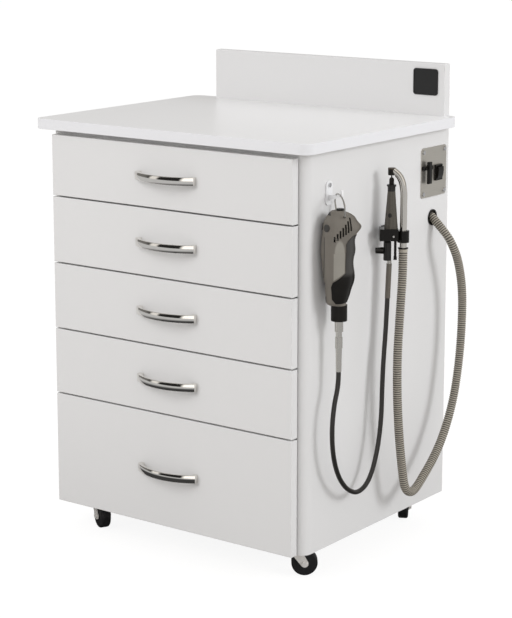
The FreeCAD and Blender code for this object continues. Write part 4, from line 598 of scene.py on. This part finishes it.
class CLINIC_OT_tool(bpy.types.Operator):
    """Finish the hanging tool, its bail, hook and shaft couplings"""
    bl_idname = "clinic.tool"
    bl_label = "Hanging tool"

    def execute(self, context):
        colours = context.scene.cabinet_colours
        dress("tool_shell", self.shell(colours))
        grip = mottled("grip_black", colours.black, 0.5, 0.5, specular=0.25, scale=40.0, fine=2500.0,
                       bump=0.35)
        tree, shader = parts_of(grip)
        recolour(tree, shader, step_mask(tree, (0, 0, 1), GRIP_CHANGE * MM, 0.004), (0.05, 0.048, 0.045))
        dress("tool_grip", grip)
        dress("tool_speed_dial", mottled("dial_black", colours.black, 0.4, 0.4, specular=0.25, bump=0.1))
        dress("tool_bail", brushed("bail_wire", (0.42, 0.41, 0.39), 0.25, along="Z"))
        drive = brushed("coupling_steel", (0.62, 0.6, 0.56), 0.2, along="Z")
        tree, shader = parts_of(drive)
        near_holder = at(0, SHAFT_ROUTE[0][1] - 30, 0).y
        sleeve = all_of(tree, [step_mask(tree, (0, 1, 0), near_holder),
                               step_mask(tree, (0, 0, -1), -SHAFT_ROUTE[0][2] * MM)])
        recolour(tree, shader, sleeve, (0.13, 0.115, 0.095), metallic=0.0, roughness=0.5)
        dress("tool_motor_and_couplings", drive)
        dress("tool_hook", mottled("hook_white", (0.8, 0.8, 0.81), 0.05, 0.3, bump=0.05))
        return {"FINISHED"}

    def shell(self, colours):
        """The grey body with its lighter bare label panel, and near-black patches: painted shade in its
        slots, and the dark line of its seam.
        """
        body = mottled("tool_grey", colours.tool, 0.25, 0.45, scale=30.0, fine=2500.0, bump=0.25)
        tree, shader = parts_of(body)
        axis = at(*TOOL_AXIS, 0)
        offset = TOOL_ACROSS.dot(axis)
        outward = step_mask(tree, TOOL_OUT, TOOL_OUT.dot(axis))
        left, right = (edge * MM for edge in LABEL_EDGES)
        top = LABEL_TOP * MM
        slope = (TOOL_ACROSS * LABEL_SLOPE[0] + Vector((0, 0, LABEL_SLOPE[1]))).normalized()
        corner = axis + TOOL_ACROSS * right + Vector((0, 0, LABEL_LOW_CORNER * MM))
        label = all_of(tree, [outward,
                              step_mask(tree, -TOOL_ACROSS, -(offset + right)),
                              step_mask(tree, TOOL_ACROSS, offset + left),
                              step_mask(tree, slope, slope.dot(corner)),
                              step_mask(tree, (0, 0, -1), -top)])
        recolour(tree, shader, label, LABEL_GREY, roughness=0.35)
        across, out = (place * MM for place in ARCH_PLACE)
        point = axis + TOOL_ACROSS * across + TOOL_OUT * out + Vector((0, 0, top))
        arch = all_of(tree, [outward, step_mask(tree, (0, 0, 1), top),
                             oval_mask(tree, point, Vector(ARCH_REACH) * MM)])
        recolour(tree, shader, arch, LABEL_GREY, roughness=0.35)
        for across, low, high, wide in SLOT_SHADE_AND_SEAM:
            dark_patch = all_of(tree, [outward,
                                 step_mask(tree, TOOL_ACROSS, offset + (across - wide / 2) * MM, 0.0002),
                                 step_mask(tree, -TOOL_ACROSS, -(offset + (across + wide / 2) * MM), 0.0002),
                                 step_mask(tree, (0, 0, 1), low * MM),
                                 step_mask(tree, (0, 0, -1), -high * MM)])
            # Near-black: painted shade in the slots, and the dark line of the seam.
            recolour(tree, shader, dark_patch, (0.012, 0.011, 0.01))
        return body


class CLINIC_OT_holder(bpy.types.Operator):
    """Finish the clamp, the handpiece and the suction tube"""
    bl_idname = "clinic.holder"
    bl_label = "Handpiece holder"

    def execute(self, context):
        colours = context.scene.cabinet_colours
        black = mottled("clamp_black", colours.black, 0.4, 0.22, specular=0.25, bump=0.05)
        for name in ("clamp_block", "clamp_knob"):
            dress(name, black)
        steel = brushed("clamp_screw_steel", (0.85, 0.84, 0.82), 0.3, along="Z", fine=2500.0)
        screw = finished("clamp_screw", self.clamp_screw, steel)
        dress("suction_fittings", self.fittings(colours))
        dress("handpiece_body", self.handpiece(colours))
        dress("handpiece_chuck", brushed("chuck_black", (0.03, 0.028, 0.026), 0.3, along="Z"))
        dress("suction_tube", brushed("tube_chrome", (0.78, 0.75, 0.7), 0.07, along="Z", line=6.0, fine=500,
                                       bump=0.02, spread=0.2))
        return {"FINISHED"}

    def clamp_screw(self, work):
        """A small round screw with a bevelled edge and a round recess, let into the front of the clamp."""
        place = at(*HANDPIECE_AXIS, SCREW_HEIGHT)
        place += (HOLDER_ACROSS * SCREW_ACROSS + HOLDER_OUT * SCREW_OUT) * MM
        turn = HOLDER_OUT.to_track_quat("Z", "Y").to_matrix().to_4x4()
        radius = SCREW_RADIUS * MM
        length = SCREW_LENGTH * MM
        bmesh.ops.create_cone(work, cap_ends=True, segments=32, radius1=radius, radius2=radius, depth=length)
        top = [face for face in work.faces if face.normal.z > 0.9]
        bmesh.ops.bevel(work, geom=list(top[0].edges), offset=0.0005, offset_type="OFFSET", affect="EDGES",
                        segments=3, profile=0.5, material=-1)
        top = max((face for face in work.faces if face.normal.z > 0.9), key=lambda face: face.calc_area())
        bmesh.ops.inset_individual(work, faces=[top], thickness=0.0006, depth=0)
        bmesh.ops.inset_individual(work, faces=[top], thickness=0.0001, depth=-0.0008)
        bmesh.ops.transform(work, matrix=Matrix.Translation(place) @ turn, verts=work.verts)

    def fittings(self, colours):
        """Black nozzle head with a worn rim, and the hose-grey cuff under its two black ears."""
        look = mottled("fitting_black", colours.black, 0.5, 0.3, specular=0.25, bump=0.1)
        tree, shader = parts_of(look)
        rim = step_mask(tree, (0, 0, 1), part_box("suction_fittings")[1].z - RIM_DEPTH * MM, MM)
        recolour(tree, shader, rim, (0.09, 0.07, 0.05), metallic=0.8)
        cuff = step_mask(tree, (0, 0, -1), -(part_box("suction_tube")[0].z - CUFF_GAP * MM))
        recolour(tree, shader, cuff, colours.hose)
        return look

    def handpiece(self, colours):
        """Speckled grey body between a black collar and a black rear housing, with two buttons."""
        look = mottled("handpiece_grey", (0.105, 0.095, 0.08), 1.1, 0.35, scale=900.0, metallic=0.5)
        tree, shader = parts_of(look)
        middle = at(*HANDPIECE_AXIS, 0)
        housing = step_mask(tree, (0, 0, -1), -(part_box("clamp_block")[0].z + HOUSING_REACH * MM))
        recolour(tree, shader, housing, colours.black, metallic=0.0)
        collar = step_mask(tree, (0, 0, 1), COLLAR_HEIGHT * MM)
        recolour(tree, shader, collar, colours.black, metallic=0.0)
        for across, out, height, radius in BUTTONS:
            centre = middle + (TOOL_ACROSS * across + TOOL_OUT * out + Vector((0, 0, height))) * MM
            reach = Vector((radius, radius, radius)) * MM
            recolour(tree, shader, oval_mask(tree, centre, reach), colours.black, metallic=0.0)
        return look


class CLINIC_OT_hoses(bpy.types.Operator):
    """Make the ribbed suction hose and the flexible drive shaft"""
    bl_idname = "clinic.hoses"
    bl_label = "Hoses"

    def execute(self, context):
        sizes = context.scene.hose_sizes
        colours = context.scene.cabinet_colours
        guide = route_spline("hose_guide", HOSE_ROUTE)
        points = spline_points(guide)
        bpy.data.objects.remove(guide)
        plastic = mottled("hose_plastic", colours.hose, 0.15, 0.42, scale=20.0, fine=1200.0, bump=0.1)
        # The groove colour is painted shade: the hose's own colour, darkened.
        dark = [PAINTED_GROOVE_SHADE * shade for shade in colours.hose]
        groove = mottled("hose_groove_painted_shade", dark, 0.15, 0.6, scale=20.0, bump=0.1)
        hose = finished("ribbed_suction_hose", lambda work: self.ribs(work, points, sizes), plastic)
        hose.data.materials.append(groove)
        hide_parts("suction_hose")
        shaft = route_spline("flexible_drive_shaft", SHAFT_ROUTE)
        shaft_points = spline_points(shaft)
        shaft.data.bevel_depth = sizes.shaft_radius
        shaft.data.bevel_resolution = 6
        shaft.data.use_fill_caps = True
        rubber = mottled("shaft_black", (0.02, 0.018, 0.016), 0.3, 0.35, scale=30.0, bump=0.08)
        shaft.data.materials.append(rubber)
        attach(shaft, "cabinet")
        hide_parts("flexible_shaft")
        return {"FINISHED"}

    def ribs(self, work, points, sizes):
        """A tube with square ribs along a line of points; the grooves take the second material, a darker
        copy of the hose plastic that is painted shade.
        """
        length = line_length(points)
        plain = PLAIN_END * sizes.hose_radius
        pitch = (length - 2 * plain) / sizes.ribs
        steps = [(0.0, sizes.hose_radius)]
        for rib in range(sizes.ribs):
            for share, radius in RIB_SHAPE:
                radius = sizes.root_radius + radius * (sizes.hose_radius - sizes.root_radius)
                steps.append((plain + (rib + share) * pitch, radius))
        steps.append((length, sizes.hose_radius))
        previous, across, last = None, None, 0
        for (place, way), (_, radius) in zip(walk(points, [step[0] for step in steps]), steps):
            across = Vector((0, 1, 0)).cross(way) if across is None else across
            across = (across - way * across.dot(way)).normalized()
            turn = Matrix((across, way.cross(across), way)).transposed().to_4x4()
            ring = bmesh.ops.create_circle(work, segments=HOSE_SIDES, radius=radius,
                                           matrix=Matrix.Translation(place) @ turn)
            edges = list({edge for vertex in ring["verts"] for edge in vertex.link_edges})
            if previous:
                band = bmesh.ops.bridge_loops(work, edges=previous + edges)["faces"]
                for face in band:
                    face.material_index = int(radius < sizes.hose_radius or last < sizes.hose_radius)
            previous, last = edges, radius
        bmesh.ops.holes_fill(work, edges=[edge for edge in work.edges if edge.is_boundary])
        bmesh.ops.recalc_face_normals(work, faces=work.faces)


def area_light(name, place, target, size, power, colour=(1, 1, 1)):
    """A square studio lamp aimed at a point."""
    lamp = bpy.data.lights.new(name, "AREA")
    lamp.size = size
    lamp.energy = power
    lamp.color = colour
    piece = bpy.data.objects.new(name, lamp)
    piece.location = place
    piece.rotation_euler = (Vector(target) - Vector(place)).to_track_quat("-Z", "Y").to_euler()
    bpy.context.scene.collection.objects.link(piece)
    return piece


class CLINIC_OT_stage(bpy.types.Operator):
    """Set up the camera, floor, lamps and background"""
    bl_idname = "clinic.stage"
    bl_label = "Stage"

    def execute(self, context):
        scene = context.scene
        scene.view_settings.view_transform = "Standard"
        camera = bpy.data.cameras.new("camera")
        camera.lens = CAMERA_LENS
        camera.sensor_width = 36
        camera.shift_y = CAMERA_SHIFT
        camera.clip_end = 100
        eye, target = at(*CAMERA_PLACE), at(*CAMERA_TARGET)
        stand = bpy.data.objects.new("camera", camera)
        stand.location = eye
        stand.rotation_euler = (target - eye).to_track_quat("-Z", "Y").to_euler()
        scene.collection.objects.link(stand)
        scene.camera = stand
        self.floor(scene)
        self.background(scene)
        side = area_light("side_lamp", place=(4.6, 1.35, 2.3), target=(0.3, 0.0, 0.55), size=1.6, power=99,
                          colour=(0.97, 0.985, 1))
        front = area_light("front_lamp", place=(-0.9, -3.0, 2.4), target=(0, 0, 0.5), size=1.8, power=45)
        side.visible_glossy = False
        front.visible_glossy = False
        return {"FINISHED"}

    def floor(self, scene):
        """A pale floor: white to the camera but with its shadow; to metal a glow that paints its reflection,
        darker near the object as painted shade.
        """
        mesh = bpy.data.meshes.new("floor")
        work = bmesh.new()
        bmesh.ops.create_grid(work, x_segments=1, y_segments=1, size=30)
        work.to_mesh(mesh)
        work.free()
        floor = bpy.data.objects.new("floor", mesh)
        scene.collection.objects.link(floor)
        material, tree, shader = bare_material("floor_white")
        set_shader(shader, 0.9, specular=0.0)
        shader.inputs["Base Color"].default_value = (*FLOOR_COLOUR, 1)
        rays = add(tree, "ShaderNodeLightPath")
        coords = add(tree, "ShaderNodeTexCoord")
        away = add(tree, "ShaderNodeVectorMath", operation="LENGTH")
        shade = add(tree, "ShaderNodeMapRange", From_Min=0.7, From_Max=1.3, To_Min=0.05, To_Max=0.55)
        # Glossy rays see a glow instead of the floor: a painted reflection, dimmer near the object as
        # painted shade.
        painted_floor_reflection = add(tree, "ShaderNodeEmission")
        link(tree, coords.outputs["Object"], away.inputs[0])
        link(tree, away.outputs["Value"], shade.inputs["Value"])
        link(tree, shade.outputs[0], painted_floor_reflection.inputs["Strength"])
        plain = add(tree, "ShaderNodeMixShader")
        link(tree, rays.outputs["Is Glossy Ray"], plain.inputs[0])
        link(tree, shader.outputs[0], plain.inputs[1])
        link(tree, painted_floor_reflection.outputs[0], plain.inputs[2])
        glow = add(tree, "ShaderNodeEmission", Strength=FLOOR_GLOW)
        share = add(tree, "ShaderNodeMath", operation="MULTIPLY")
        share.inputs[1].default_value = FLOOR_SHARE
        link(tree, rays.outputs["Is Camera Ray"], share.inputs[0])
        mix = add(tree, "ShaderNodeMixShader")
        link(tree, share.outputs[0], mix.inputs[0])
        link(tree, plain.outputs[0], mix.inputs[1])
        link(tree, glow.outputs[0], mix.inputs[2])
        sink = next(item for item in tree.nodes if item.bl_idname == "ShaderNodeOutputMaterial")
        link(tree, mix.outputs[0], sink.inputs["Surface"])
        mesh.materials.append(material)

    def background(self, scene):
        """White to the camera, and a soft even light on the object."""
        world = bpy.data.worlds.new("studio")
        scene.world = world
        world.use_nodes = True
        tree = world.node_tree
        tree.nodes.clear()
        rays = add(tree, "ShaderNodeLightPath")
        seen = add(tree, "ShaderNodeMath", operation="MAXIMUM")
        link(tree, rays.outputs["Is Camera Ray"], seen.inputs[0])
        link(tree, rays.outputs["Is Transmission Ray"], seen.inputs[1])
        soft = add(tree, "ShaderNodeBackground", Color=(1, 0.995, 0.99, 1), Strength=0.84)
        white = add(tree, "ShaderNodeBackground", Color=(1, 1, 1, 1), Strength=1.0)
        cards = add(tree, "ShaderNodeBackground", Strength=1.0)
        link(tree, self.studio_cards(tree), cards.inputs["Color"])
        glossy = add(tree, "ShaderNodeMixShader")
        mix = add(tree, "ShaderNodeMixShader")
        sink = add(tree, "ShaderNodeOutputWorld")
        link(tree, rays.outputs["Is Glossy Ray"], glossy.inputs[0])
        link(tree, soft.outputs[0], glossy.inputs[1])
        link(tree, cards.outputs[0], glossy.inputs[2])
        link(tree, seen.outputs[0], mix.inputs[0])
        link(tree, glossy.outputs[0], mix.inputs[1])
        link(tree, white.outputs[0], mix.inputs[2])
        link(tree, mix.outputs[0], sink.inputs["Surface"])

    def studio_cards(self, tree):
        """What polished metal sees around the object: bright panels and dark gaps by compass direction."""
        coords = add(tree, "ShaderNodeTexCoord")
        parts = add(tree, "ShaderNodeSeparateXYZ")
        link(tree, coords.outputs["Generated"], parts.inputs[0])
        back = add(tree, "ShaderNodeMath", operation="MULTIPLY")
        back.inputs[1].default_value = -1.0
        link(tree, parts.outputs["Y"], back.inputs[0])
        compass = add(tree, "ShaderNodeMath", operation="ARCTAN2")
        link(tree, parts.outputs["X"], compass.inputs[0])
        link(tree, back.outputs[0], compass.inputs[1])
        share = add(tree, "ShaderNodeMapRange", From_Min=-math.pi, From_Max=math.pi)
        link(tree, compass.outputs[0], share.inputs["Value"])
        ramp = add(tree, "ShaderNodeValToRGB")
        stops = ramp.color_ramp.elements
        for number, (degrees, shade) in enumerate(STUDIO_CARDS):
            stop = stops[number] if number < 2 else stops.new(1.0)
            stop.position = (degrees + 180) / 360
            stop.color = (shade, shade * 0.97, shade * 0.92, 1)
        link(tree, share.outputs[0], ramp.inputs[0])
        return ramp.outputs["Color"]


PIECES = (CLINIC_OT_hoses, CLINIC_OT_boards, CLINIC_OT_drawers, CLINIC_OT_casters, CLINIC_OT_service,
          CLINIC_OT_tool, CLINIC_OT_holder, CLINIC_OT_stage)


class CLINIC_PT_panel(bpy.types.Panel):
    """Buttons that build each group of pieces"""
    bl_label = "Clinic cabinet"
    bl_idname = "CLINIC_PT_panel"
    bl_space_type = "VIEW_3D"
    bl_region_type = "UI"
    bl_category = "Cabinet"

    def draw(self, context):
        for piece in PIECES:
            self.layout.operator(piece.bl_idname)


CLASSES = (CabinetColours, HoseSizes) + PIECES + (CLINIC_PT_panel,)


def register():
    """Register the classes and their settings."""
    for item in CLASSES:
        bpy.utils.register_class(item)
    bpy.types.Scene.cabinet_colours = PointerProperty(type=CabinetColours)
    bpy.types.Scene.hose_sizes = PointerProperty(type=HoseSizes)


def unregister():
    """Take the classes and settings away again."""
    del bpy.types.Scene.hose_sizes
    del bpy.types.Scene.cabinet_colours
    for item in reversed(CLASSES):
        bpy.utils.unregister_class(item)


def main():
    """Build every piece and the stage."""
    register()
    for piece in PIECES:
        family, name = piece.bl_idname.split(".")
        getattr(getattr(bpy.ops, family), name)()


if __name__ == "__main__":
    main()
